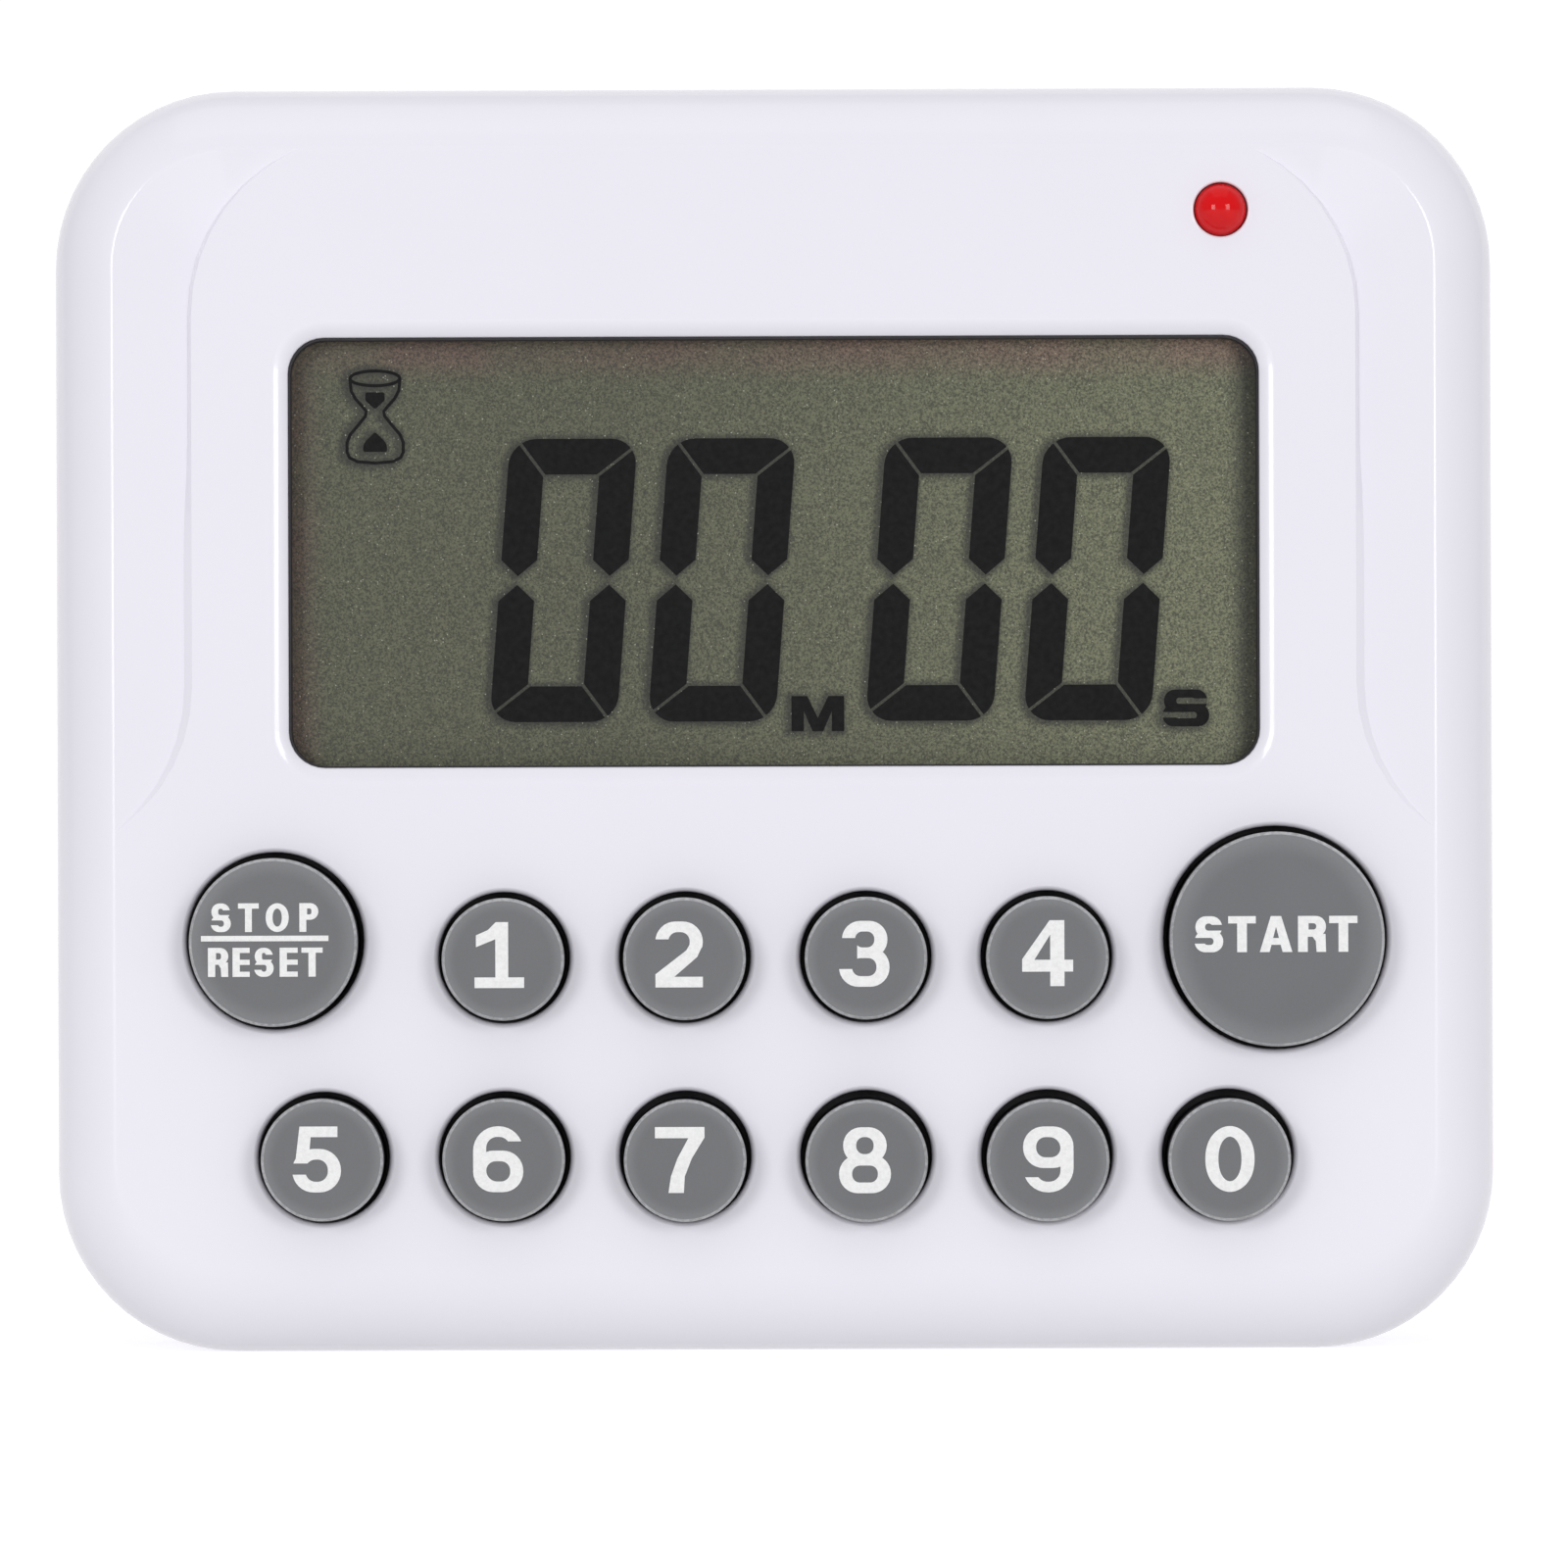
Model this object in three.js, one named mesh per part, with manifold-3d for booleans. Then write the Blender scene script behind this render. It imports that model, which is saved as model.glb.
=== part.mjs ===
// Countdown timer with a numeric keypad, a seven-segment display and an alarm lamp.
// Millimetres. +X runs to the right of someone reading the display, +Z is up, and the display faces -Y.
// The origin is the middle of the base, at the height of the surface that the timer stands on.
import * as THREE from "three";
import { mergeVertices } from "three/addons/utils/BufferGeometryUtils.js";
import Module from "manifold-3d";

const wasm = await Module();
wasm.setup();

// ---- driving dimensions ----

const BODY = { width: 82, height: 72, corner: 10.2, wall: 1.8 };
const MID_Z = BODY.height / 2;
const KEY_TOP_Y = -12;
const FACE_Y = -10;
const SEAM_Y = 1;
const SEAM_GAP = 0.2;
const BACK_Y = 12;
const BACK_WALL = 1.6;
const FRONT_INSIDE_Y = FACE_Y + BODY.wall;
const BACK_INSIDE_Y = BACK_Y - BACK_WALL;

// How far a rib, boss or pad is sunk into the wall it grows from.
const ROOT = 0.3;
// The clearance between two parts that rest on each other.
const REST_GAP = 0.05;
const INSIDE_ROUND = { front: 3.4, rear: 2, steps: 2 };
const LIP = { clear: 0.1, thick: 0.9, high: 1.2, root: 0.3 };

// The shoulder round the face is part of an ellipse that the flat face cuts off, which leaves a crease.
const SHOULDER = { inset: 3.55, across: 7.16, deep: 4.4, cut: 0.6, steps: 7 };
const REAR_EDGE = { round: 3, steps: 4 };

const WINDOW = { width: 55.1, height: 24.4, corner: 2.05, z: 45.5, leadIn: 1, leadInDeep: 0.4 };
const PANEL = { halfWidth: 32.8, arc: 10.3, shoulderX: 22.7, shoulderZ: 59, flareZ: 37.9, footZ: 29.6 };
const WING = { deep: 0.3, edgeInset: 0.4, flare: 1.1, flareEnd: 1.31, topCosine: 0.45, footRise: 0.6 };
const CREASE = { x: BODY.width / 2 - SHOULDER.inset, topZ: BODY.height - SHOULDER.inset };

const KEY_PITCH = 10.25;
const KEY_ROWS = { upperZ: 22.5, lowerZ: 11.2 };
const KEY_SIDE_GAP = 0.35;
const KEY_SIZES = {
  digit: { cap: 3.46, flange: 4.4, stem: 2, sides: 20 },
  stop: { cap: 4.76, flange: 5.7, stem: 3, sides: 24 },
  start: { cap: 6.07, flange: 6.8, stem: 4, sides: 28 },
};
const KEY = { capThick: 1.2, capBevel: 0.2, flangeY: -7.9, flangeThick: 1, tipY: -5, bossInset: 0.06 };

const PCB = { width: 77, height: 66.6, frontY: -3.7, thick: 1.2, notch: 9 };
const PCB_BACK_Y = PCB.frontY + PCB.thick;
const MAT = { width: 74, bottomZ: 4, topZ: 30.2, thick: 0.95, holeGap: 0.7, postGap: 0.5 };

const GLASS = { width: 59, bottomZ: 31.2, topZ: 60.1, thick: 0.7, film: 0.25, filmY: -8.1 };
const FILM = { inset: 0.5, lap: 0.2 };
const REAR_GLASS = { bottomZ: 33.2, topZ: 57.9 };
const HOLDER = { halfWidth: 30.6, bottomZ: 30.5, topZ: 60.9, rim: 0.6, frontY: -8.05, shelfY: -6.1, shelf: 0.8 };
const HOLDER_RIB = { gap: 0.3, thick: 1, tipY: -4.2, bottomZ: 50, topZ: 57 };
const ZEBRA = { halfLength: 27, thick: 1.6, lowerZ: 31.5, upperZ: 58.2 };

const LAMP = { x: 25.4, z: 64.8, radius: 1.5, tipY: -10.9, baseY: -5.4, flange: 1.9, flangeThick: 1 };
const LAMP_COLLAR = { radius: 2.6, tipY: -6.6, gap: 0.1, holeBackY: -6 };
const LEAD = { spread: 1.27, side: 0.5, proud: 0.6, hole: 0.45 };

const POST = { x: 33.5, inset: 7.5, front: 2.9, rear: 3.4, gap: 0.3, pilot: 1.25, pilotFrontY: -6.5, clear: 1.4 };
const SINK = { radius: 2.5, floorY: 7 };
const SCREW = { shank: 1.1, head: 2.2, headThick: 1.5, tipY: -4.5 };
const SCREW_SHAPE = { crown: 0.75, rim: 0.6, crossLong: 1.2, crossWide: 0.24 };
const BOARD_SCREW = { x: 35.4, z: 40, post: 2, pilot: 1, shank: 0.85, head: 1.9, headThick: 1, length: 4.6 };
const BOARD_PILOT_Y = -7.6;
const CHIP = { x: -10, z: 22, radius: 6, high: 1.8 };
const CRYSTAL = { x: 8, z: 24, radius: 1, length: 6, gap: 0.02 };

const CELL = { radius: 5.25, length: 44.5, nub: 1.9, nubLong: 0.9, edge: 0.5, y: 5.05, spread: 5.45, shift: 1.4 };
const TRAY = { halfWidth: 24.6, midZ: 50.2, halfHeight: 11.2, floorY: -0.5, wall: 1.2 };
const DOOR = { halfWidth: 27, halfHeight: 13.2, thick: 1.4, gap: 0.2, corner: 2 };
const DOOR_SEAT = { halfWidth: 29, frontY: 8.9, bottomZ: 35.8, topZ: 65 };
const LEDGE_Y = BACK_Y - DOOR.thick - 0.1;
const DOOR_TAB = { x: 14, halfWidth: 2.6, deepY: 9.2, legThick: 1.4, toeThick: 0.9, toeZ: 35.2, root: 0.2 };
const TAB_SLOT = { halfWidth: 3, frontY: 8.5, bottomZ: 34.8, topZ: 39.3 };
const LATCH = { halfWidth: 4, frontY: 8.9, bottomZ: 61.7, topZ: 62.6 };
const LATCH_SLOT = { halfWidth: 4.6, frontY: 8.4, bottomZ: 61, topZ: 63.4 };
const CONTACT = { thick: 0.4, gap: 0.05, frontY: 0.6, backY: 9.4, halfHeight: 4.3, dimple: 1.7 };
const SPRING = { wire: 0.3, base: 3.6, tip: 2.3, turns: 3, length: 3.2, sides: 6, stepsPerTurn: 10, bite: 0.08 };

const STAND = { halfWidth: 17.2, bottomZ: 5.3, innerY: 9.9, outerY: 11.9, corner: 3, hingeY: 10.5, hingeZ: 30.5 };
const STAND_WINDOW = { halfWidth: 9.5, bottomZ: 10.5, topZ: 26, corner: 2.5 };
const KNUCKLE = { radius: 1.4, bore: 0.85, pin: 0.75, pinHalfLength: 18.6, holeHalfLength: 19 };
const RECESS = { halfWidth: 17.6, bottomZ: 5, topZ: 32.2, floorY: 8.9, wall: 1.2, corner: 3.2 };
const SCOOP = { radius: 3.6, deepY: 10.6, standZ: 6.4, doorZ: 64.2 };
const SCOOP_PADS = [
  { halfWidth: 7, frontY: 8.9, bottomZ: 62, topZ: 69 },
  { halfWidth: 6, frontY: 8.9, bottomZ: 2.4, topZ: 7 },
];

const MAGNET = { x: 27, z: 19, radius: 5, thick: 1.9, pocket: 5.15, floorY: 9.9, boss: 6.4, bossFrontY: 8.7 };
const BUZZER = { z: 18.5, plate: 10, ceramic: 7, seatY: 7.35, plateThick: 0.2, ceramicThick: 0.2 };
const BUZZER_SEAT = { gap: 0.15, wall: 1.2, lip: 0.9, ledge: 1, chamberY: 7.7, backY: 7.9 };
const GRILLE = { hole: 0.8, ring: 4, count: 6, frontY: 7, backY: 9.5 };

// ---- materials ----

function finish(color, roughness, metalness = 0) {
  return new THREE.MeshStandardMaterial({ color, roughness, metalness });
}

const MATERIAL = {
  caseWhite: finish(0xecebf3, 0.35),
  capGrey: finish(0x848588, 0.45),
  rubberBlack: finish(0x161616, 0.75),
  polariser: finish(0x65675a, 0.4),
  glass: finish(0xaab0a4, 0.1),
  reflector: finish(0x9a9c8c, 0.5, 0.3),
  holder: finish(0xe4e4e0, 0.5),
  board: finish(0x2c6a3c, 0.5),
  epoxyBlack: finish(0x101010, 0.4),
  lampRed: finish(0xc81d29, 0.15),
  steel: finish(0xb4b6b8, 0.35, 1),
  nickel: finish(0xc8c4b8, 0.3, 1),
  brass: finish(0xc8a450, 0.3, 1),
  ceramic: finish(0xe8e6dc, 0.4),
  cell: finish(0x3c6e50, 0.4, 0.2),
};

// ---- geometry helpers ----

// A closed geometry as a solid for cutting and joining.
function solid(geometry) {
  const bare = geometry.clone();
  bare.deleteAttribute("normal");
  bare.deleteAttribute("uv");
  const merged = mergeVertices(bare, 1e-4);
  return new wasm.Manifold(
    new wasm.Mesh({
      numProp: 3,
      vertProperties: merged.attributes.position.array,
      triVerts: new Uint32Array(merged.index.array),
    }),
  );
}

// A solid back as a geometry.
function geometryOf(made) {
  const { numProp, vertProperties, triVerts } = made.getMesh();
  const count = vertProperties.length / numProp;
  const position = new Float32Array(count * 3);
  for (let i = 0; i < count; i++) {
    position.set(vertProperties.subarray(i * numProp, i * numProp + 3), i * 3);
  }
  const geometry = new THREE.BufferGeometry();
  geometry.setAttribute("position", new THREE.BufferAttribute(position, 3));
  geometry.setIndex(new THREE.BufferAttribute(new Uint32Array(triVerts), 1));
  geometry.computeVertexNormals();
  return geometry;
}

function joined(solids) {
  return solids.reduce((whole, next) => whole.add(next));
}

function cut(body, tools) {
  return tools.reduce((left, tool) => left.subtract(tool), body);
}

function piece(name, geometry, material) {
  const mesh = new THREE.Mesh(geometry, material);
  mesh.name = name;
  return mesh;
}

function piecedSolid(name, made, material) {
  return piece(name, geometryOf(made), material);
}

// A rounded rectangle in the X-Z plane; its top corners can have a radius of their own.
function roundedOutline(x0, x1, z0, z1, r, top = r) {
  const shape = new THREE.Shape();
  shape.moveTo(x0 + r, z0);
  shape.lineTo(x1 - r, z0);
  shape.absarc(x1 - r, z0 + r, r, -Math.PI / 2, 0);
  shape.lineTo(x1, z1 - top);
  shape.absarc(x1 - top, z1 - top, top, 0, Math.PI / 2);
  shape.lineTo(x0 + top, z1);
  shape.absarc(x0 + top, z1 - top, top, Math.PI / 2, Math.PI);
  shape.lineTo(x0, z0 + r);
  shape.absarc(x0 + r, z0 + r, r, Math.PI, Math.PI * 1.5);
  return shape;
}

// A shape drawn in the X-Z plane, made solid from y0 to y1; a bevel rounds both ends inwards.
function slab(shape, y0, y1, { bevelDeep = 0, bevelAcross = 0, steps = 0, curve = 6 } = {}) {
  const geometry = new THREE.ExtrudeGeometry(shape, {
    depth: y1 - y0 - 2 * bevelDeep,
    bevelEnabled: bevelDeep > 0,
    bevelThickness: bevelDeep,
    bevelSize: bevelAcross,
    bevelOffset: -bevelAcross,
    bevelSegments: steps,
    curveSegments: curve,
  });
  geometry.rotateX(Math.PI / 2);
  geometry.translate(0, y1 - bevelDeep, 0);
  return solid(geometry);
}

function block(x0, x1, y0, y1, z0, z1) {
  const geometry = new THREE.BoxGeometry(x1 - x0, y1 - y0, z1 - z0);
  geometry.translate((x0 + x1) / 2, (y0 + y1) / 2, (z0 + z1) / 2);
  return solid(geometry);
}

function rodY(x, z, radius, y0, y1, sides = 12) {
  const geometry = new THREE.CylinderGeometry(radius, radius, y1 - y0, sides);
  geometry.translate(x, (y0 + y1) / 2, z);
  return solid(geometry);
}

function rodX(y, z, radius, x0, x1, sides = 16) {
  const geometry = new THREE.CylinderGeometry(radius, radius, x1 - x0, sides);
  geometry.rotateZ(-Math.PI / 2);
  geometry.translate((x0 + x1) / 2, y, z);
  return solid(geometry);
}

// A turned piece about the Y axis; each profile point is [radius, y], given from high y to low y.
function turned(profile, sides) {
  const points = profile.map(([radius, y]) => new THREE.Vector2(radius, y));
  return new THREE.LatheGeometry(points.reverse(), sides);
}

// The body outline, drawn in from the outside by an offset.
function bodyOutline(offset) {
  const halfWidth = BODY.width / 2 - offset;
  const corner = BODY.corner - offset;
  return roundedOutline(-halfWidth, halfWidth, offset, BODY.height - offset, corner);
}

function bodyRing(outerOffset, innerOffset, y0, y1) {
  return slab(bodyOutline(outerOffset), y0, y1).subtract(slab(bodyOutline(innerOffset), y0 - 1, y1 + 1));
}

// ---- where repeated things sit ----

const KEYS = [
  { name: "stop_reset", size: KEY_SIZES.stop, x: -28.35, z: 23.5 },
  { name: "start", size: KEY_SIZES.start, x: 28.35, z: 23.5 },
  ...[1, 2, 3, 4].map((digit, i) => ({
    name: String(digit),
    size: KEY_SIZES.digit,
    x: (i - 1.5) * KEY_PITCH,
    z: KEY_ROWS.upperZ,
  })),
  ...[5, 6, 7, 8, 9, 0].map((digit, i) => ({
    name: String(digit),
    size: KEY_SIZES.digit,
    x: (i - 2.5) * KEY_PITCH,
    z: KEY_ROWS.lowerZ,
  })),
];

const CORNERS = [
  { name: "bottom_left", x: -POST.x, z: POST.inset },
  { name: "bottom_right", x: POST.x, z: POST.inset },
  { name: "top_left", x: -POST.x, z: BODY.height - POST.inset },
  { name: "top_right", x: POST.x, z: BODY.height - POST.inset },
];

// ---- front case ----

// A block that spans the whole timer between two depths.
function wholeWidth(y0, y1) {
  return block(-BODY.width, BODY.width, y0, y1, -1, BODY.height + 1);
}

function bodySolid() {
  const front = slab(bodyOutline(0), FACE_Y - SHOULDER.cut, BACK_Y + SHOULDER.deep, {
    bevelDeep: SHOULDER.deep,
    bevelAcross: SHOULDER.across,
    steps: SHOULDER.steps,
  });
  const back = slab(bodyOutline(0), FACE_Y - REAR_EDGE.round, BACK_Y, {
    bevelDeep: REAR_EDGE.round,
    bevelAcross: REAR_EDGE.round,
    steps: REAR_EDGE.steps,
  });
  return front.intersect(back).intersect(wholeWidth(FACE_Y, BACK_Y + 1));
}

// One side of the face outside the raised panel, in plan; the other side is its mirror image.
function wingShape(side) {
  const { halfWidth, arc, shoulderX, shoulderZ, flareZ, footZ } = PANEL;
  const edge = CREASE.x - WING.edgeInset;
  const topZ = CREASE.topZ - WING.edgeInset;
  const corner = BODY.corner - SHOULDER.inset;
  const points = [];
  const along = (cx, cz, r, from, to, steps) => {
    for (let i = 0; i <= steps; i++) {
      const a = from + ((to - from) * i) / steps;
      points.push([cx + r * Math.cos(a), cz + r * Math.sin(a)]);
    }
  };
  const flare = (flareZ - footZ) * WING.flare;
  along(shoulderX, shoulderZ, arc, Math.acos(WING.topCosine), 0, 6);
  along(halfWidth + flare, flareZ, flare, Math.PI, Math.PI * WING.flareEnd, 5);
  points.push([edge, footZ + WING.footRise]);
  along(edge - corner, topZ - corner, corner, 0, Math.PI / 2, 6);
  return new THREE.Shape(points.map(([x, z]) => new THREE.Vector2(side * x, z)));
}

function windowCut() {
  const halfWidth = WINDOW.width / 2;
  const bottom = WINDOW.z - WINDOW.height / 2;
  const top = WINDOW.z + WINDOW.height / 2;
  const lead = WINDOW.leadIn;
  const hole = roundedOutline(-halfWidth, halfWidth, bottom, top, WINDOW.corner);
  const wide = halfWidth + lead;
  const mouth = roundedOutline(-wide, wide, bottom - lead, top + lead, WINDOW.corner + lead);
  const sloped = slab(mouth, FACE_Y - WINDOW.leadInDeep, FACE_Y + WINDOW.leadInDeep, {
    bevelDeep: WINDOW.leadInDeep,
    bevelAcross: lead,
    steps: 1,
    curve: 4,
  });
  return slab(hole, FACE_Y - 1, FRONT_INSIDE_Y + 1, { curve: 4 }).add(sloped);
}

function frontCase() {
  const inside = slab(bodyOutline(BODY.wall), FRONT_INSIDE_Y, SEAM_Y + 10, {
    bevelDeep: INSIDE_ROUND.front,
    bevelAcross: INSIDE_ROUND.front,
    steps: INSIDE_ROUND.steps,
  });
  const behindSeam = wholeWidth(SEAM_Y - SEAM_GAP / 2, BACK_Y + 1);
  const shell = cut(bodySolid(), [inside, behindSeam]);
  const rootY = FRONT_INSIDE_Y - ROOT;
  const postTipY = SEAM_Y - SEAM_GAP / 2 - POST.gap;
  const posts = CORNERS.map(({ x, z }) => rodY(x, z, POST.front, rootY, postTipY, 16));
  const boardPosts = [-1, 1].map((side) =>
    rodY(side * BOARD_SCREW.x, BOARD_SCREW.z, BOARD_SCREW.post, rootY, PCB.frontY - REST_GAP),
  );
  const ribs = [-1, 1].map((side) => {
    const inner = HOLDER.halfWidth + HOLDER_RIB.gap;
    const ends = [side * inner, side * (inner + HOLDER_RIB.thick)].sort((a, b) => a - b);
    return block(ends[0], ends[1], rootY, HOLDER_RIB.tipY, HOLDER_RIB.bottomZ, HOLDER_RIB.topZ);
  });
  const lampCollar = rodY(LAMP.x, LAMP.z, LAMP_COLLAR.radius, rootY, LAMP_COLLAR.tipY, 20);
  const walls = joined([shell, ...posts, ...boardPosts, ...ribs, lampCollar]);
  const keyHoles = KEYS.map(({ x, z, size }) =>
    rodY(x, z, size.cap + KEY_SIDE_GAP, FACE_Y - 1, FRONT_INSIDE_Y + 0.5, size.sides),
  );
  const pilots = CORNERS.map(({ x, z }) => rodY(x, z, POST.pilot, POST.pilotFrontY, SEAM_Y));
  const boardPilots = [-1, 1].map((side) =>
    rodY(side * BOARD_SCREW.x, BOARD_SCREW.z, BOARD_SCREW.pilot, BOARD_PILOT_Y, PCB.frontY + 1),
  );
  const wings = [-1, 1].map((side) => slab(wingShape(side), FACE_Y - 1, FACE_Y + WING.deep));
  const lampHole = rodY(LAMP.x, LAMP.z, LAMP.radius + LAMP_COLLAR.gap, FACE_Y - 1, LAMP_COLLAR.holeBackY, 20);
  const made = cut(walls, [...keyHoles, ...pilots, ...boardPilots, ...wings, lampHole, windowCut()]);
  return piecedSolid("front_case", made, MATERIAL.caseWhite);
}

// ---- rear case ----

function standRecess(grow, floorY) {
  const half = RECESS.halfWidth + grow;
  const shape = roundedOutline(-half, half, RECESS.bottomZ - grow, RECESS.topZ + grow, RECESS.corner, 0.4);
  return slab(shape, floorY, BACK_Y + (grow ? -0.8 : 1), { curve: 3 });
}

function trayBlock(grow, frontY, backY) {
  const half = TRAY.halfWidth + grow;
  const high = TRAY.halfHeight + grow;
  return block(-half, half, frontY, backY, TRAY.midZ - high, TRAY.midZ + high);
}

// A boxy pad, slot or latch, from its driving dimensions to a depth.
function padBlock({ halfWidth, frontY, bottomZ, topZ }, backY, midX = 0) {
  return block(midX - halfWidth, midX + halfWidth, frontY, backY, bottomZ, topZ);
}

function rearCaseAdded() {
  const rootY = BACK_INSIDE_Y + ROOT;
  const { wall } = BODY;
  const lipInside = wall + LIP.clear + LIP.thick;
  const lip = bodyRing(wall + LIP.clear, lipInside, SEAM_Y - LIP.high, SEAM_Y + LIP.high);
  const lipRoot = bodyRing(wall + LIP.clear - LIP.root, lipInside, SEAM_Y + SEAM_GAP / 2, SEAM_Y + LIP.high);
  const towers = CORNERS.map(({ x, z }) => rodY(x, z, POST.rear, SEAM_Y - SEAM_GAP / 2, rootY));
  const tray = trayBlock(TRAY.wall, TRAY.floorY - TRAY.wall, rootY);
  const pads = [DOOR_SEAT, ...SCOOP_PADS].map((pad) => padBlock(pad, rootY));
  const recess = standRecess(RECESS.wall, RECESS.floorY - RECESS.wall);
  const magnetBosses = [-1, 1].map((side) =>
    rodY(side * MAGNET.x, MAGNET.z, MAGNET.boss, MAGNET.bossFrontY, rootY, 20),
  );
  const { wall: seatWall, lip: seatLip, backY } = BUZZER_SEAT;
  const holderRing = rodY(0, BUZZER.z, BUZZER.plate + seatWall, BUZZER.seatY - seatLip, backY, 28);
  return [lip, lipRoot, ...towers, tray, ...pads, recess, ...magnetBosses, holderRing];
}

function rearCaseCuts() {
  const pocket = trayBlock(0, TRAY.floorY, BACK_Y + 1);
  const half = DOOR.halfWidth + DOOR.gap;
  const high = DOOR.halfHeight + DOOR.gap;
  const rebateShape = roundedOutline(-half, half, TRAY.midZ - high, TRAY.midZ + high, DOOR.corner + DOOR.gap);
  const rebate = slab(rebateShape, LEDGE_Y, BACK_Y + 1, { curve: 3 });
  const tabSlots = [-1, 1].map((side) => padBlock(TAB_SLOT, LEDGE_Y + REST_GAP, side * DOOR_TAB.x));
  const latchSlot = padBlock(LATCH_SLOT, LEDGE_Y + REST_GAP);
  const sinks = CORNERS.map(({ x, z }) => rodY(x, z, SINK.radius, SINK.floorY, BACK_Y + 1));
  const clearances = CORNERS.map(({ x, z }) => rodY(x, z, POST.clear, SEAM_Y - 1, BACK_Y));
  const pinReach = KNUCKLE.holeHalfLength;
  const pinHole = rodX(STAND.hingeY, STAND.hingeZ, KNUCKLE.pin + REST_GAP, -pinReach, pinReach);
  const scoops = [SCOOP.standZ, SCOOP.doorZ].map((z) => rodY(0, z, SCOOP.radius, SCOOP.deepY, BACK_Y + 1, 20));
  const magnets = [-1, 1].map((side) =>
    rodY(side * MAGNET.x, MAGNET.z, MAGNET.pocket, MAGNET.floorY, BACK_Y + 1, 28),
  );
  const { gap, ledge, chamberY } = BUZZER_SEAT;
  const buzzerSeat = rodY(0, BUZZER.z, BUZZER.plate + gap, BUZZER.seatY - 2, BUZZER.seatY, 28);
  const chamber = rodY(0, BUZZER.z, BUZZER.plate - ledge, BUZZER.seatY - 2, chamberY, 24);
  const soundHole = (x, z) => rodY(x, z, GRILLE.hole, GRILLE.frontY, GRILLE.backY, 10);
  const holes = [soundHole(0, BUZZER.z)];
  for (let i = 0; i < GRILLE.count; i++) {
    const a = (i * 2 * Math.PI) / GRILLE.count;
    holes.push(soundHole(GRILLE.ring * Math.cos(a), BUZZER.z + GRILLE.ring * Math.sin(a)));
  }
  const cuts = [pocket, rebate, ...tabSlots, latchSlot, ...sinks, ...clearances, standRecess(0, RECESS.floorY)];
  return [...cuts, pinHole, ...scoops, ...magnets, buzzerSeat, chamber, ...holes];
}

function rearCase() {
  const inside = slab(bodyOutline(BODY.wall), FACE_Y, BACK_INSIDE_Y, {
    bevelDeep: INSIDE_ROUND.rear,
    bevelAcross: INSIDE_ROUND.rear,
    steps: INSIDE_ROUND.steps,
  });
  const aheadOfSeam = wholeWidth(FACE_Y - 1, SEAM_Y + SEAM_GAP / 2);
  const shell = cut(bodySolid(), [inside, aheadOfSeam]);
  const made = cut(joined([shell, ...rearCaseAdded()]), rearCaseCuts());
  return piecedSolid("rear_case", made, MATERIAL.caseWhite);
}

// ---- display ----

function plate(name, halfWidth, z0, z1, y0, y1, material) {
  return piecedSolid(name, block(-halfWidth, halfWidth, y0, y1, z0, z1), material);
}

function display() {
  const group = new THREE.Group();
  const half = GLASS.width / 2;
  const frontY = GLASS.filmY + GLASS.film;
  const middleY = frontY + GLASS.thick;
  const backY = middleY + GLASS.thick;
  const { bottomZ, topZ } = REAR_GLASS;
  const filmHalf = half - FILM.inset;
  const [filmBottom, filmTop] = [bottomZ - FILM.lap, topZ + FILM.lap];
  group.add(plate("lcd_front_polariser", filmHalf, filmBottom, filmTop, GLASS.filmY, frontY, MATERIAL.polariser));
  group.add(plate("lcd_front_glass", half, GLASS.bottomZ, GLASS.topZ, frontY, middleY, MATERIAL.glass));
  group.add(plate("lcd_rear_glass", half, bottomZ, topZ, middleY, backY, MATERIAL.glass));
  group.add(plate("lcd_reflector", filmHalf, bottomZ, topZ, backY, backY + GLASS.film, MATERIAL.reflector));
  for (const [name, z] of [["zebra_strip_lower", ZEBRA.lowerZ], ["zebra_strip_upper", ZEBRA.upperZ]]) {
    const [y0, y1] = [middleY + REST_GAP, PCB.frontY - REST_GAP];
    group.add(plate(name, ZEBRA.halfLength, z, z + ZEBRA.thick, y0, y1, MATERIAL.rubberBlack));
  }
  group.add(displayHolder());
  return group;
}

function displayHolder() {
  const { halfWidth, bottomZ, topZ, rim, frontY, shelfY, shelf } = HOLDER;
  const outer = block(-halfWidth, halfWidth, frontY, PCB.frontY - 0.1, bottomZ, topZ);
  const inner = halfWidth - rim;
  const above = block(-inner, inner, frontY - 1, shelfY, bottomZ + rim, topZ - rim);
  const below = block(-inner, inner, shelfY + shelf, PCB.frontY + 1, bottomZ + rim, topZ - rim);
  const slots = [ZEBRA.lowerZ, ZEBRA.upperZ].map((z) =>
    block(-ZEBRA.halfLength - 0.2, ZEBRA.halfLength + 0.2, shelfY - 1, PCB.frontY, z - 0.15, z + ZEBRA.thick + 0.15),
  );
  return piecedSolid("lcd_holder", cut(outer, [above, below, ...slots]), MATERIAL.holder);
}

// ---- alarm lamp ----

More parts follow.
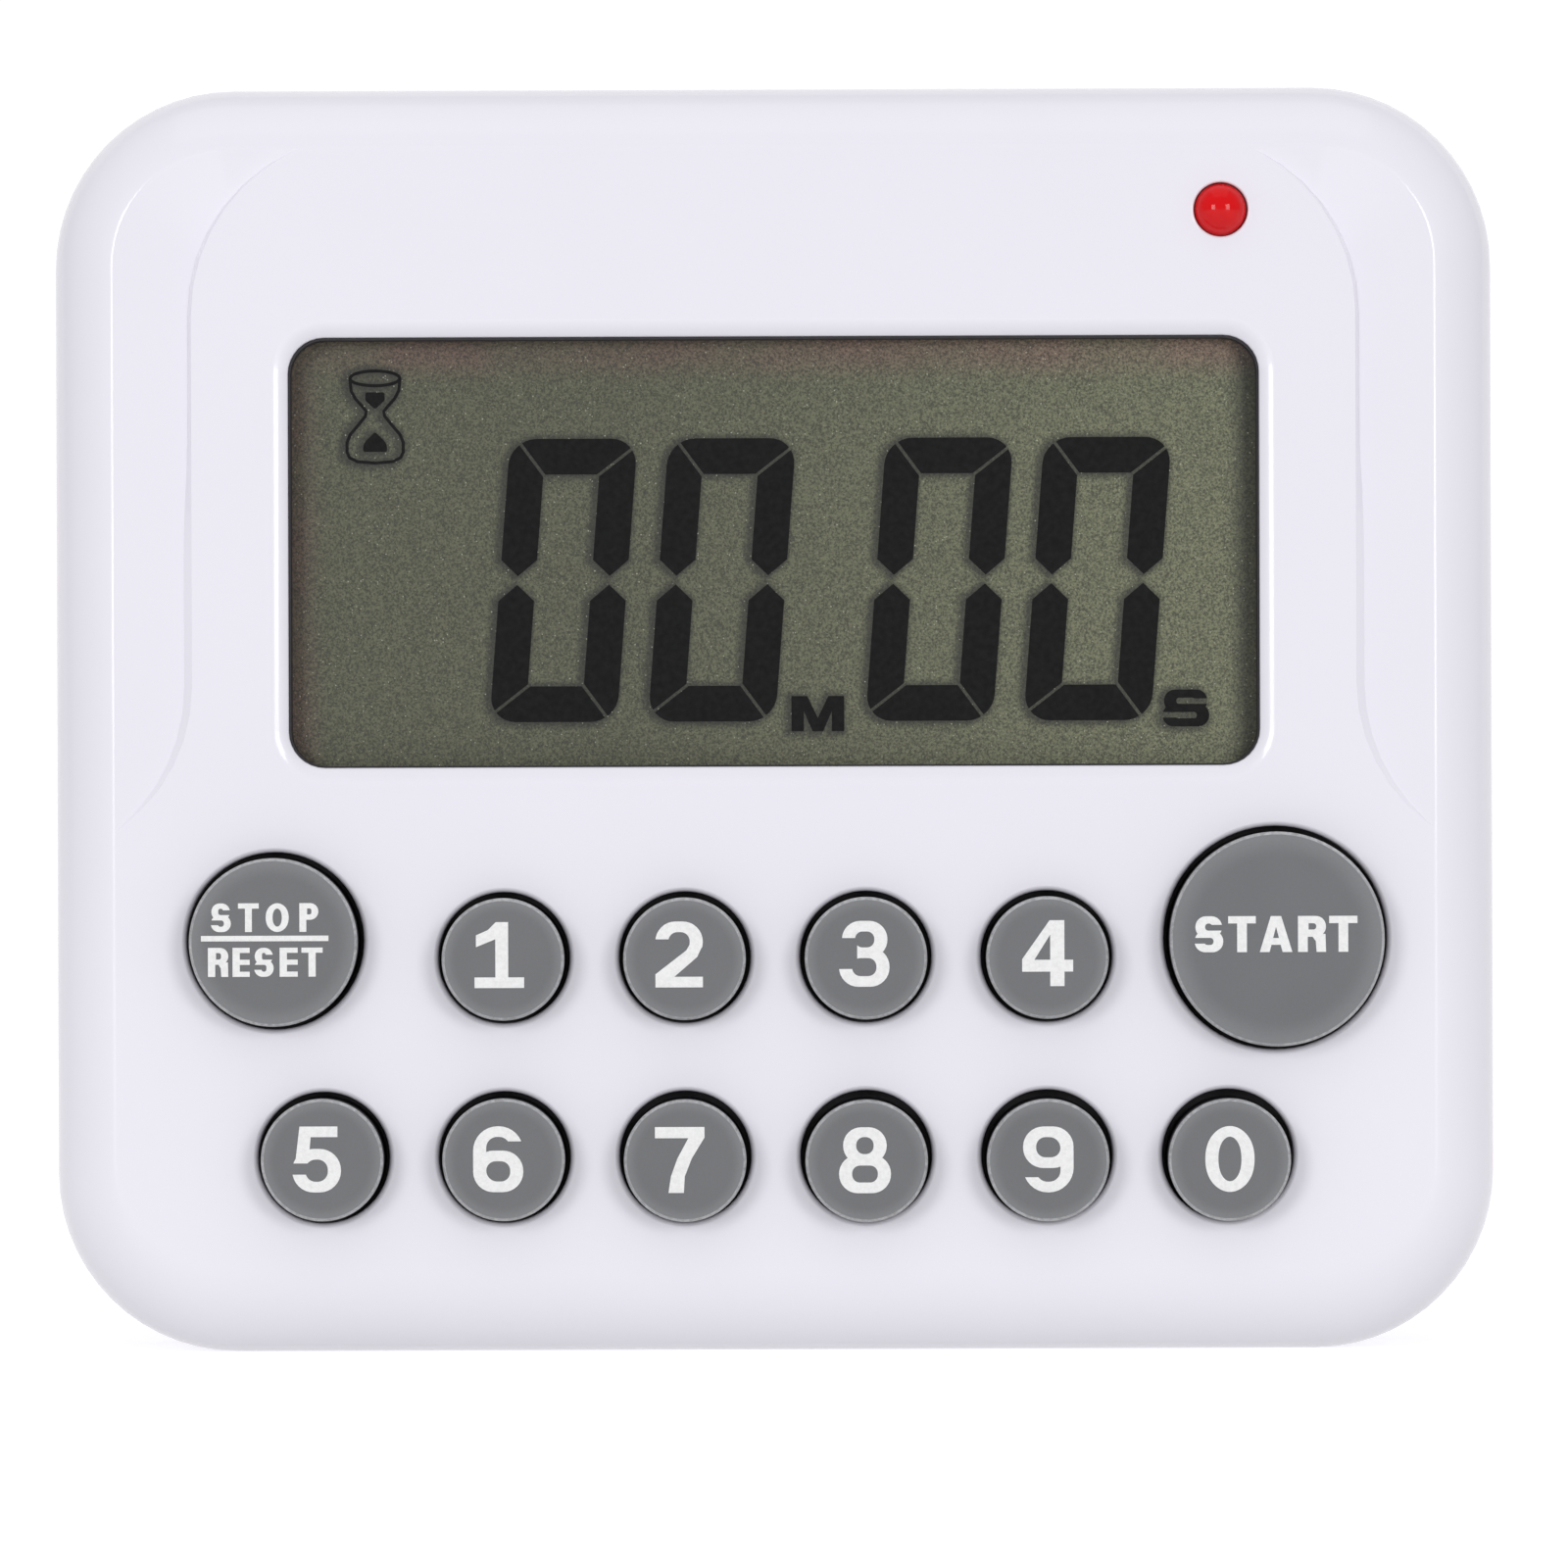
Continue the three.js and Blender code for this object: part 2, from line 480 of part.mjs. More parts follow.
function lamp() {
  const group = new THREE.Group();
  group.position.set(LAMP.x, 0, LAMP.z);
  const domeTop = LAMP.tipY;
  const shoulderY = domeTop + LAMP.radius;
  const flangeY = LAMP.baseY - LAMP.flangeThick;
  const dome = [0, 1, 2, 3, 4].map((i) => {
    const a = (i * Math.PI) / 8;
    return [LAMP.radius * Math.sin(a), shoulderY - LAMP.radius * Math.cos(a)];
  });
  const profile = [...dome, [LAMP.radius, flangeY], [LAMP.flange, flangeY], [LAMP.flange, LAMP.baseY], [0, LAMP.baseY]];
  group.add(piece("lamp_lens", turned(profile.reverse(), 20), MATERIAL.lampRed));
  for (const [name, side] of [["lamp_lead_left", -1], ["lamp_lead_right", 1]]) {
    const [y0, y1] = [LAMP.baseY + REST_GAP, PCB_BACK_Y + LEAD.proud];
    const mesh = piece(name, new THREE.BoxGeometry(LEAD.side, y1 - y0, LEAD.side), MATERIAL.nickel);
    mesh.position.set(side * LEAD.spread, (y0 + y1) / 2, 0);
    group.add(mesh);
  }
  return group;
}

// ---- keys ----

// A grey cap with a bevelled rim, on a rubber boss whose flange keeps it in the case.
function key({ name, size, x, z }) {
  const group = new THREE.Group();
  group.position.set(x, 0, z);
  const capBack = KEY_TOP_Y + KEY.capThick;
  const cap = [
    [0, capBack],
    [size.cap, capBack],
    [size.cap, KEY_TOP_Y + KEY.capBevel],
    [size.cap - KEY.capBevel, KEY_TOP_Y],
    [0, KEY_TOP_Y],
  ];
  const boss = [
    [0, KEY.tipY],
    [size.stem, KEY.tipY],
    [size.stem, KEY.flangeY + KEY.flangeThick],
    [size.flange, KEY.flangeY + KEY.flangeThick],
    [size.flange, KEY.flangeY],
    [size.cap - KEY.bossInset, KEY.flangeY],
    [size.cap - KEY.bossInset, capBack],
    [0, capBack],
  ];
  group.add(piece("key_cap_" + name, turned(cap, size.sides), MATERIAL.capGrey));
  group.add(piece("key_boss_" + name, turned(boss, size.sides - 4), MATERIAL.rubberBlack));
  return group;
}

function keypadMat() {
  const half = MAT.width / 2;
  const backY = PCB.frontY - REST_GAP;
  const sheet = slab(roundedOutline(-half, half, MAT.bottomZ, MAT.topZ, 2), backY - MAT.thick, backY, { curve: 3 });
  const holes = KEYS.map(({ x, z, size }) => rodY(x, z, size.stem + MAT.holeGap, -6, 0, 12));
  const postHoles = CORNERS.slice(0, 2).map(({ x, z }) => rodY(x, z, POST.front + MAT.postGap, -6, 0, 12));
  return piecedSolid("keypad_mat", cut(sheet, [...holes, ...postHoles]), MATERIAL.rubberBlack);
}

// ---- circuit board and what it carries ----

function circuitBoard() {
  const half = PCB.width / 2;
  const high = PCB.height / 2;
  const sheet = block(-half, half, PCB.frontY, PCB_BACK_Y, MID_Z - high, MID_Z + high);
  const notches = [-1, 1].flatMap((sx) =>
    [-1, 1].map((sz) => {
      const x0 = sx > 0 ? half - PCB.notch : -half - 1;
      const z0 = sz > 0 ? MID_Z + high - PCB.notch : MID_Z - high - 1;
      return block(x0, x0 + PCB.notch + 1, -5, 0, z0, z0 + PCB.notch + 1);
    }),
  );
  const screwHoles = [-1, 1].map((side) => rodY(side * BOARD_SCREW.x, BOARD_SCREW.z, BOARD_SCREW.pilot, -5, 0));
  const leadHoles = [-1, 1].map((side) => rodY(LAMP.x + side * LEAD.spread, LAMP.z, LEAD.hole, -5, 0, 8));
  return piecedSolid("circuit_board", cut(sheet, [...notches, ...screwHoles, ...leadHoles]), MATERIAL.board);
}

function boardParts() {
  const group = new THREE.Group();
  const seatY = PCB_BACK_Y + REST_GAP;
  const dome = [0, 1, 2, 3].map((i) => {
    const a = (i * Math.PI) / 6;
    return [CHIP.radius * Math.sin(a), seatY + CHIP.high * Math.cos(a)];
  });
  const blob = piece("chip_blob", turned([...dome, [0, seatY]], 20), MATERIAL.epoxyBlack);
  blob.position.set(CHIP.x, 0, CHIP.z);
  const crystal = new THREE.CylinderGeometry(CRYSTAL.radius, CRYSTAL.radius, CRYSTAL.length, 16);
  crystal.rotateZ(Math.PI / 2);
  const can = piece("clock_crystal", crystal, MATERIAL.nickel);
  can.position.set(CRYSTAL.x, seatY + CRYSTAL.radius + CRYSTAL.gap, CRYSTAL.z);
  group.add(blob, can);
  return group;
}

// ---- screws ----

function screw(name, x, z, { head, headThick, shank }, headY, tipY) {
  const profile = [
    [0, headY],
    [head * SCREW_SHAPE.crown, headY],
    [head, headY - headThick * SCREW_SHAPE.rim],
    [head, headY - headThick],
    [shank, headY - headThick],
    [shank, tipY + shank],
    [0, tipY],
  ];
  const slot = new THREE.BoxGeometry(head * SCREW_SHAPE.crossLong, headThick, head * SCREW_SHAPE.crossWide);
  slot.translate(0, headY, 0);
  const slotAcross = slot.clone().rotateY(Math.PI / 2);
  const made = cut(solid(turned(profile, 14)), [solid(slot), solid(slotAcross)]);
  const mesh = piecedSolid(name, made, MATERIAL.steel);
  mesh.position.set(x, 0, z);
  return mesh;
}

function screws() {
  const group = new THREE.Group();
  for (const { name, x, z } of CORNERS) {
    group.add(screw("case_screw_" + name, x, z, SCREW, SINK.floorY + SCREW.headThick, SCREW.tipY));
  }
  for (const [name, side] of [["left", -1], ["right", 1]]) {
    const headY = PCB_BACK_Y + REST_GAP + BOARD_SCREW.headThick;
    const tipY = headY - BOARD_SCREW.headThick - BOARD_SCREW.length;
    group.add(screw("board_screw_" + name, side * BOARD_SCREW.x, BOARD_SCREW.z, BOARD_SCREW, headY, tipY));
  }
  return group;
}

// ---- batteries and contacts ----

// A dry cell lying along X with its button end towards +X, or towards -X when side is -1.
function cell(name, z, side) {
  const half = CELL.length / 2;
  const nubBack = half - CELL.nubLong;
  const geometry = turned(
    [
      [0, half],
      [CELL.nub, half],
      [CELL.nub, nubBack],
      [CELL.radius - CELL.edge, nubBack],
      [CELL.radius, nubBack - CELL.edge],
      [CELL.radius, -half + CELL.edge],
      [CELL.radius - CELL.edge, -half],
      [0, -half],
    ],
    24,
  );
  const mesh = piece(name, geometry, MATERIAL.cell);
  mesh.rotation.z = (-side * Math.PI) / 2;
  mesh.position.set(side * CELL.shift, CELL.y, z);
  return mesh;
}

class ConeHelix extends THREE.Curve {
  getPoint(t, target = new THREE.Vector3()) {
    const a = t * SPRING.turns * 2 * Math.PI;
    const radius = SPRING.base + (SPRING.tip - SPRING.base) * t;
    const along = SPRING.wire + t * (SPRING.length - 2 * SPRING.wire);
    return target.set(along, radius * Math.cos(a), radius * Math.sin(a));
  }
}

// A cone spring whose wide end stands on the contact plate at -X, or at +X when side is -1.
function spring(name, z, side) {
  const wire = new THREE.Shape();
  wire.absarc(0, 0, SPRING.wire, 0, Math.PI * 2);
  const geometry = new THREE.ExtrudeGeometry(wire, {
    steps: SPRING.turns * SPRING.stepsPerTurn,
    curveSegments: SPRING.sides / 2,
    extrudePath: new ConeHelix(),
  });
  const mesh = piece(name, geometry, MATERIAL.nickel);
  mesh.rotation.y = side > 0 ? 0 : Math.PI;
  const plateFace = TRAY.halfWidth - CONTACT.gap - CONTACT.thick;
  mesh.position.set(-side * (plateFace - SPRING.bite), CELL.y, z);
  return mesh;
}

// A contact plate on the tray's end wall at +X (side 1) or -X (side -1); dimpleZ adds the bump for a button end.
function contact(name, side, z0, z1, dimpleZ) {
  const outer = TRAY.halfWidth - CONTACT.gap;
  const inner = outer - CONTACT.thick;
  const ends = [side * inner, side * outer].sort((a, b) => a - b);
  let made = block(ends[0], ends[1], CONTACT.frontY, CONTACT.backY, z0, z1);
  if (dimpleZ !== undefined) {
    const reach = [side * (CELL.shift + CELL.length / 2 + CONTACT.gap), side * (inner + 0.1)].sort((a, b) => a - b);
    made = made.add(rodX(CELL.y, dimpleZ, CONTACT.dimple, reach[0], reach[1]));
  }
  return piecedSolid(name, made, MATERIAL.nickel);
}

function power() {
  const group = new THREE.Group();
  const lowerZ = TRAY.midZ - CELL.spread;
  const upperZ = TRAY.midZ + CELL.spread;
  group.add(cell("battery_lower", lowerZ, 1), cell("battery_upper", upperZ, -1));
  group.add(spring("spring_lower", lowerZ, 1), spring("spring_upper", upperZ, -1));
  const high = CONTACT.halfHeight;
  group.add(contact("contact_bridge", -1, lowerZ - high, upperZ + high, upperZ));
  group.add(contact("contact_positive", 1, lowerZ - high, lowerZ + high, lowerZ));
  group.add(contact("contact_negative", 1, upperZ - high, upperZ + high));
  return group;
}

// ---- battery door ----

function batteryDoor() {
  const innerY = BACK_Y - DOOR.thick;
  const bottomZ = TRAY.midZ - DOOR.halfHeight;
  const topZ = TRAY.midZ + DOOR.halfHeight;
  const lid = slab(roundedOutline(-DOOR.halfWidth, DOOR.halfWidth, bottomZ, topZ, DOOR.corner), innerY, BACK_Y, {
    curve: 3,
  });
  const tabs = [-1, 1].flatMap((side) => {
    const x0 = side * DOOR_TAB.x - DOOR_TAB.halfWidth;
    const x1 = side * DOOR_TAB.x + DOOR_TAB.halfWidth;
    const { deepY, legThick, toeThick, toeZ, root } = DOOR_TAB;
    const legZ = bottomZ + root;
    const leg = block(x0, x1, deepY, innerY + root, legZ, legZ + legThick);
    const toe = block(x0, x1, deepY, deepY + toeThick, toeZ, legZ + root);
    return [leg, toe];
  });
  const latch = padBlock(LATCH, innerY + DOOR_TAB.root);
  return piecedSolid("battery_door", joined([lid, ...tabs, latch]), MATERIAL.caseWhite);
}

// ---- fold-out stand ----

function stand() {
  const { halfWidth, bottomZ, innerY, outerY, corner, hingeY, hingeZ } = STAND;
  const outline = roundedOutline(-halfWidth, halfWidth, bottomZ, hingeZ + corner, corner);
  const leaf = slab(outline, innerY, outerY, { curve: 4 });
  const aboveHinge = block(-halfWidth - 1, halfWidth + 1, innerY - 1, outerY + 1, hingeZ, hingeZ + corner + 1);
  const knuckle = rodX(hingeY, hingeZ, KNUCKLE.radius, -halfWidth, halfWidth, 20);
  const { halfWidth: openHalf, bottomZ: openBottom, topZ: openTop, corner: openCorner } = STAND_WINDOW;
  const opening = slab(roundedOutline(-openHalf, openHalf, openBottom, openTop, openCorner), innerY - 1, outerY + 1, {
    curve: 4,
  });
  const bore = rodX(hingeY, hingeZ, KNUCKLE.bore, -halfWidth - 1, halfWidth + 1);
  const made = cut(cut(leaf, [aboveHinge]).add(knuckle), [opening, bore]);
  return piecedSolid("stand", made, MATERIAL.caseWhite);
}

function standPin() {
  const length = KNUCKLE.pinHalfLength;
  return piecedSolid("stand_pin", rodX(STAND.hingeY, STAND.hingeZ, KNUCKLE.pin, -length, length), MATERIAL.steel);
}

// ---- magnets and buzzer ----

function disc(name, x, z, radius, y0, y1, sides, material) {
  return piecedSolid(name, rodY(x, z, radius, y0, y1, sides), material);
}

function magnets() {
  const y0 = MAGNET.floorY + REST_GAP;
  return [["left", -1], ["right", 1]].map(([name, side]) =>
    disc("magnet_" + name, side * MAGNET.x, MAGNET.z, MAGNET.radius, y0, y0 + MAGNET.thick, 28, MATERIAL.nickel),
  );
}

function buzzer() {
  const backY = BUZZER.seatY - REST_GAP;
  const plateY = backY - BUZZER.plateThick;
  const ceramicY = plateY - BUZZER.ceramicThick;
  return [
    disc("buzzer_plate", 0, BUZZER.z, BUZZER.plate, plateY, backY, 28, MATERIAL.brass),
    disc("buzzer_ceramic", 0, BUZZER.z, BUZZER.ceramic, ceramicY, plateY, 24, MATERIAL.ceramic),
  ];
}

// ---- the timer ----

const timer = new THREE.Group();
timer.add(frontCase(), rearCase(), batteryDoor(), stand(), standPin());
timer.add(display(), lamp(), keypadMat(), circuitBoard(), boardParts(), screws(), power());
timer.add(...magnets(), ...buzzer(), ...KEYS.map(key));

export default timer;
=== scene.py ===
"""A pocket lab timer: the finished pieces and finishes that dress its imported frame.

Shapes are drawn in millimetres and turned to metres as each piece is finished.
+X runs to the right of someone reading the display, +Z is up, and the display faces -Y.
"""

import math

import bmesh
import bpy
from bpy.props import FloatProperty, FloatVectorProperty, PointerProperty
from bpy.types import Operator, Panel, PropertyGroup
from mathutils import Matrix, Vector
from mathutils.bvhtree import BVHTree


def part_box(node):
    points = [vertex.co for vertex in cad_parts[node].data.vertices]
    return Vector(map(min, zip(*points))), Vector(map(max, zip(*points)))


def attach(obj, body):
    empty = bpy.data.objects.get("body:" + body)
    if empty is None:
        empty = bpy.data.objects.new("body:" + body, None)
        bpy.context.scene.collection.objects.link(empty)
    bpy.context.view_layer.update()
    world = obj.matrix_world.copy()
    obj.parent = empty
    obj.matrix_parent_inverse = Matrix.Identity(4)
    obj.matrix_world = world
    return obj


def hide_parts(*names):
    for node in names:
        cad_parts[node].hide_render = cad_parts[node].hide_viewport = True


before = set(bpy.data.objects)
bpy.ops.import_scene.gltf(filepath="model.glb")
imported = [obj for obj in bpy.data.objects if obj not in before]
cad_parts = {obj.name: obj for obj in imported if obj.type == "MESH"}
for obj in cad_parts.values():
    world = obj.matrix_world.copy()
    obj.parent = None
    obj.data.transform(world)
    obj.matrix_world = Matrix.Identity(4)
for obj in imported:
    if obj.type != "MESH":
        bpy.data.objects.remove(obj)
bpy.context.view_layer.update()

bl_info = {
    "name": "Lab timer",
    "version": (1, 0, 0),
    "blender": (4, 5, 0),
    "location": "3D View > Sidebar > Lab timer",
    "description": "Builds the case, keys, display and lamp of a pocket lab timer over its packed frame",
    "category": "Object",
}

MM = 0.001
FACE_Y = -10.0
FRONT_INSIDE_Y = -8.2
SEAM_Y = 1.0
SEAM_GAP = 0.2
BACK_Y = 12.0
BACK_INSIDE_Y = 10.4
WALL = 1.8
BODY_LOW, BODY_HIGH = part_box("front_case")
DIGIT_KEYS = "1234567890"
LAMP_X, LAMP_Z = 25.4, 64.8
BOARD_SCREW_X, BOARD_SCREW_Z = 35.4, 40
MAGNET_X, MAGNET_Z = 27, 19
HINGE_Y, HINGE_Z = 10.5, 30.5
SOUND_Z = 18.5
WINDOW_HALF, WINDOW_LOW, WINDOW_HIGH = 27.55, 33.3, 57.7
SEGMENT_THICK = 0.02
# Noise hardly ever leaves this span, so a pattern stretched over it uses its full contrast.
NOISE_SPAN = {"From Min": 0.3, "From Max": 0.7}
CORNERS = ("bottom_left", "bottom_right", "top_left", "top_right")


def mm(metres):
    return metres / MM


def linear(hex_colour):
    """An sRGB hex colour as the linear RGBA that a shader takes."""
    channels = [int(hex_colour[i : i + 2], 16) / 255 for i in (0, 2, 4)]
    return (*[c / 12.92 if c <= 0.04045 else ((c + 0.055) / 1.055) ** 2.4 for c in channels], 1.0)


# ---------------------------------------------------------------- settings


def length(name, description, default, low=0.0):
    return FloatProperty(name=name, description=description, default=default * MM, min=low * MM, unit="LENGTH")


def colour(name, description, hex_colour):
    return FloatVectorProperty(
        name=name, description=description, default=linear(hex_colour), subtype="COLOR", size=4, min=0, max=1
    )


class TimerCase(PropertyGroup):
    width: FloatProperty(
        name="Width", description="Across the case", default=BODY_HIGH.x - BODY_LOW.x, min=0.05, unit="LENGTH"
    )
    height: FloatProperty(
        name="Height", description="From the base to the top edge",
        default=BODY_HIGH.z - BODY_LOW.z, min=0.05, unit="LENGTH"
    )
    corner: length("Corner", "Radius of the case corners seen from the front", 10.2, 5)
    shoulder_across: length("Shoulder across", "Half width of the ellipse that rounds the front edge", 7.16, 4)
    shoulder_deep: length("Shoulder deep", "Half depth of the ellipse that rounds the front edge", 4.4, 4)
    crease_inset: length("Crease inset", "How far inside the edge the flat face starts", 3.55, 1)
    crease_round: length("Crease round", "Radius that softens the crease", 0.7, 0.1)
    roll_across: length("Bottom roll across", "How far the bottom edge rolls into the face", 4.8, 1)
    wing_slope: FloatProperty(
        name="Wing slope", description="Slope of the face beside the panel",
        default=math.radians(4.9), subtype="ANGLE"
    )
    lip: length("Moulded lip", "Radius on the edges of openings", 0.18, 0.02)
    abs_colour: colour("Case", "Colour of the case plastic", "ECEAF4")


class TimerKeys(PropertyGroup):
    side_gap: length("Side gap", "Gap between a key cap and its hole", 0.26, 0.1)
    bevel: length("Cap bevel", "Width of the bevel round each key cap", 0.16, 0.02)
    crown: length("Cap crown", "How much a key cap rises to its middle", 0.04)
    digit_height: length("Digit height", "Height of the printed digits", 3.72, 1)
    ink_thickness: length("Ink", "Thickness of the printed legends", 0.03, 0.01)
    cap_colour: colour("Cap", "Colour of the key caps", "6A6B6E")
    start_colour: colour("Start cap", "Colour of the start key's cap", "686A6D")
    rim_colour: colour("Cap rim", "Colour where the coat is rubbed at a cap's edge", "A9AAAD")
    ink_colour: colour("Legend", "Colour of the printed legends", "F0F0F1")
    rubber_colour: colour("Rubber", "Colour of the rubber under the caps", "242226")


class TimerDisplay(PropertyGroup):
    digit_height: length("Digit height", "Height of the large digits", 16.12, 4)
    digit_width: length("Digit width", "Width of the large digits", 7.25, 2)
    stroke: length("Stroke", "Width of a segment", 2.03, 0.5)
    gap: length("Gap", "Gap between two segments", 0.18, 0.05)
    corner: length("Digit corner", "Radius of the outer corners of a digit", 1.5, 0.1)
    slant: FloatProperty(name="Slant", description="Lean of the digits", default=math.radians(4.4), subtype="ANGLE")
    shadow_reach: length("Shadow reach", "How far the soft shadow of a segment spreads", 0.5, 0.05)
    film_colour: colour("Film", "Colour of the display where no segment is on", "50523F")
    # Painted shade: the film takes this colour in patches inside its left and top edges.
    edge_shade_colour: colour("Film edge", "Colour of the display near its left and top edges", "5C4C41")
    segment_colour: colour("Segment", "Colour of a segment that is on", "1B1B1C")


class TimerStudio(PropertyGroup):
    distance: length("Camera distance", "From the camera to the display face", 450, 50)
    field: length("Field", "Width of the view at the face", 88.89, 10)
    floor_colour: colour("Floor", "Colour of the floor and backdrop", "F8F8F9")
    side_power: FloatProperty(
        name="Side lights", description="Power of each side softbox", default=2.6, unit="POWER"
    )
    top_power: FloatProperty(
        name="Top light", description="Power of the overhead softbox", default=0.93, unit="POWER"
    )
    surround: FloatProperty(name="Surround", description="Strength of the even light from all sides", default=0.56)


# ---------------------------------------------------------------- shaping, in millimetres


def rounded(x0, x1, z0, z1, radius, top=None):
    """The corners of a rounded rectangle, as (x, z, radius); its top corners can have a radius of their own."""
    top = radius if top is None else top
    return [(x0, z0, radius), (x1, z0, radius), (x1, z1, top), (x0, z1, top)]


def outline(bm, corners, y, steps=8):
    """Adds a flat face at depth y with each (x, z, radius) corner rounded, and returns its edges."""
    before = set(bm.edges)
    verts = [bm.verts.new((x, y, z)) for x, z, _ in corners]
    bm.faces.new(verts)
    for vert, (_, _, radius) in zip(verts, corners):
        if radius > 0:
            bmesh.ops.bevel(
                bm, geom=[vert], offset=radius, offset_type="OFFSET", profile_type="SUPERELLIPSE", segments=steps,
                profile=0.5, affect="VERTICES", clamp_overlap=False, material=-1,
            )
    return [edge for edge in bm.edges if edge not in before]


def closed(bm):
    """Merges doubles and turns every face outwards."""
    bmesh.ops.remove_doubles(bm, verts=bm.verts, dist=1e-4)
    bmesh.ops.recalc_face_normals(bm, faces=bm.faces)
    return bm


def loft(rows, steps=8):
    """A closed solid skinned over a stack of outlines; each row is (corners, y)."""
    bm = bmesh.new()
    loops = [outline(bm, corners, y, steps) for corners, y in rows]
    inner_faces = [loop[0].link_faces[0] for loop in loops[1:-1]]
    bmesh.ops.delete(bm, geom=inner_faces, context="FACES_ONLY")
    for low, high in zip(loops, loops[1:]):
        bmesh.ops.bridge_loops(bm, edges=low + high)
    return closed(bm)


def slab(corners, y0, y1, steps=8):
    return loft([(corners, y0), (corners, y1)], steps)


def bar(x0, x1, y0, y1, z0, z1):
    bm = bmesh.new()
    bmesh.ops.create_cube(bm, size=1)
    bmesh.ops.scale(bm, vec=(x1 - x0, y1 - y0, z1 - z0), verts=bm.verts)
    bmesh.ops.translate(bm, vec=((x0 + x1) / 2, (y0 + y1) / 2, (z0 + z1) / 2), verts=bm.verts)
    return bm


def turned(profile, x=0.0, z=0.0, sides=48):
    """A solid turned about Y at (x, z); each profile point is (radius, y), with both ends on the axis."""
    bm = bmesh.new()
    verts = [bm.verts.new((x + radius, y, z)) for radius, y in profile]
    edges = [bm.edges.new(pair) for pair in zip(verts, verts[1:])]
    bmesh.ops.spin(
        bm, geom=verts + edges, cent=(x, 0, z), axis=(0, 1, 0), angle=math.tau, steps=sides, use_merge=True
    )
    return closed(bm)


def rod(x, z, radius, y0, y1, sides=40):
    return turned([(0, y0), (radius, y0), (radius, y1), (0, y1)], x, z, sides)


def rod_along_x(y, z, radius, x0, x1, sides=32):
    """A round bar along X."""
    bm = rod(0, 0, radius, x0, x1, sides)
    bmesh.ops.rotate(bm, cent=(0, 0, 0), matrix=Matrix.Rotation(math.radians(-90), 3, "Z"), verts=bm.verts)
    bmesh.ops.translate(bm, vec=(0, y, z), verts=bm.verts)
    return closed(bm)


def arc(steps, start=0.0, stop=90.0):
    """Angles from start to stop in degrees, as radians."""
    return [math.radians(start + (stop - start) * i / steps) for i in range(steps + 1)]


def grown(corners, offset):
    """A rounded rectangle's corners moved outwards by an offset."""
    (x0, z0, low), (x1, _, _), (_, z1, top), _ = corners
    return rounded(x0 - offset, x1 + offset, z0 - offset, z1 + offset, low + offset, top + offset)


def pocket(corners, floor_y, lip, steps=8, mouth_y=BACK_Y):
    """A tool that sinks a pocket with a rounded lip into a surface that faces +Y at mouth_y."""
    rows = [(corners, floor_y)]
    for a in arc(5):
        rows.append((grown(corners, lip * (1 - math.cos(a))), mouth_y - lip + lip * math.sin(a)))
    rows.append((grown(corners, lip), mouth_y + 2))
    return loft(rows, steps)


def round_pocket(x, z, radius, floor_y, lip, sides=48, mouth_y=BACK_Y):
    """The same tool for a round pocket."""
    rim = [(radius + lip * (1 - math.cos(a)), mouth_y - lip + lip * math.sin(a)) for a in arc(5)]
    profile = [(0, floor_y), (radius, floor_y), *rim, (radius + lip, mouth_y + 2), (0, mouth_y + 2)]
    return turned(profile, x, z, sides)


def softened(corners, y0, y1, round_in, round_out, steps=8):
    """A plate whose edges are rounded: by round_in at y0 and by round_out at y1."""
    inner = [(grown(corners, -round_in * (1 - math.sin(a))), y0 + round_in * (1 - math.cos(a))) for a in arc(4)]
    outer = [(grown(corners, -round_out * (1 - math.cos(a))), y1 - round_out * (1 - math.sin(a))) for a in arc(4)]
    return loft(inner + outer, steps)


def as_mesh(bm, name):
    """Hands a shape over to a new mesh."""
    mesh = bpy.data.meshes.new(name)
    bm.to_mesh(mesh)
    bm.free()
    return mesh


def taken(mesh, bm=None):
    """The shape of a mesh, or that shape added to another; the mesh is removed."""
    bm = bm or bmesh.new()
    bm.from_mesh(mesh)
    bpy.data.meshes.remove(mesh)
    return bm


def evaluated(obj):
    """The shape that an object's modifiers or curve settings give."""
    graph = bpy.context.evaluated_depsgraph_get()
    return taken(bpy.data.meshes.new_from_object(obj.evaluated_get(graph)))


def merged(parts):
    """Several shapes in one, left as they are where they touch."""
    whole = bmesh.new()
    for part in parts:
        taken(as_mesh(part, "part"), whole)
    return whole


def combined(body, tools, operation):
    """The body with every tool joined on (UNION) or cut away (DIFFERENCE)."""
    pool = bpy.data.collections.new("tools")
    bpy.context.scene.collection.children.link(pool)
    objects = [bpy.data.objects.new("tool", as_mesh(bm, "tool")) for bm in (body, *tools)]
    work, others = objects[0], objects[1:]
    bpy.context.scene.collection.objects.link(work)
    for tool in others:
        pool.objects.link(tool)
    modifier = work.modifiers.new("combine", "BOOLEAN")
    modifier.operation = operation
    modifier.operand_type = "COLLECTION"
    modifier.collection = pool
    modifier.solver = "EXACT"
    modifier.use_self = operation == "UNION"
    result = evaluated(work)
    for obj in objects:
        mesh = obj.data
        bpy.data.objects.remove(obj)
        bpy.data.meshes.remove(mesh)
    bpy.data.collections.remove(pool)
    bmesh.ops.remove_doubles(result, verts=result.verts, dist=2e-4)
    bmesh.ops.dissolve_degenerate(result, edges=result.edges, dist=1e-4)
    return result


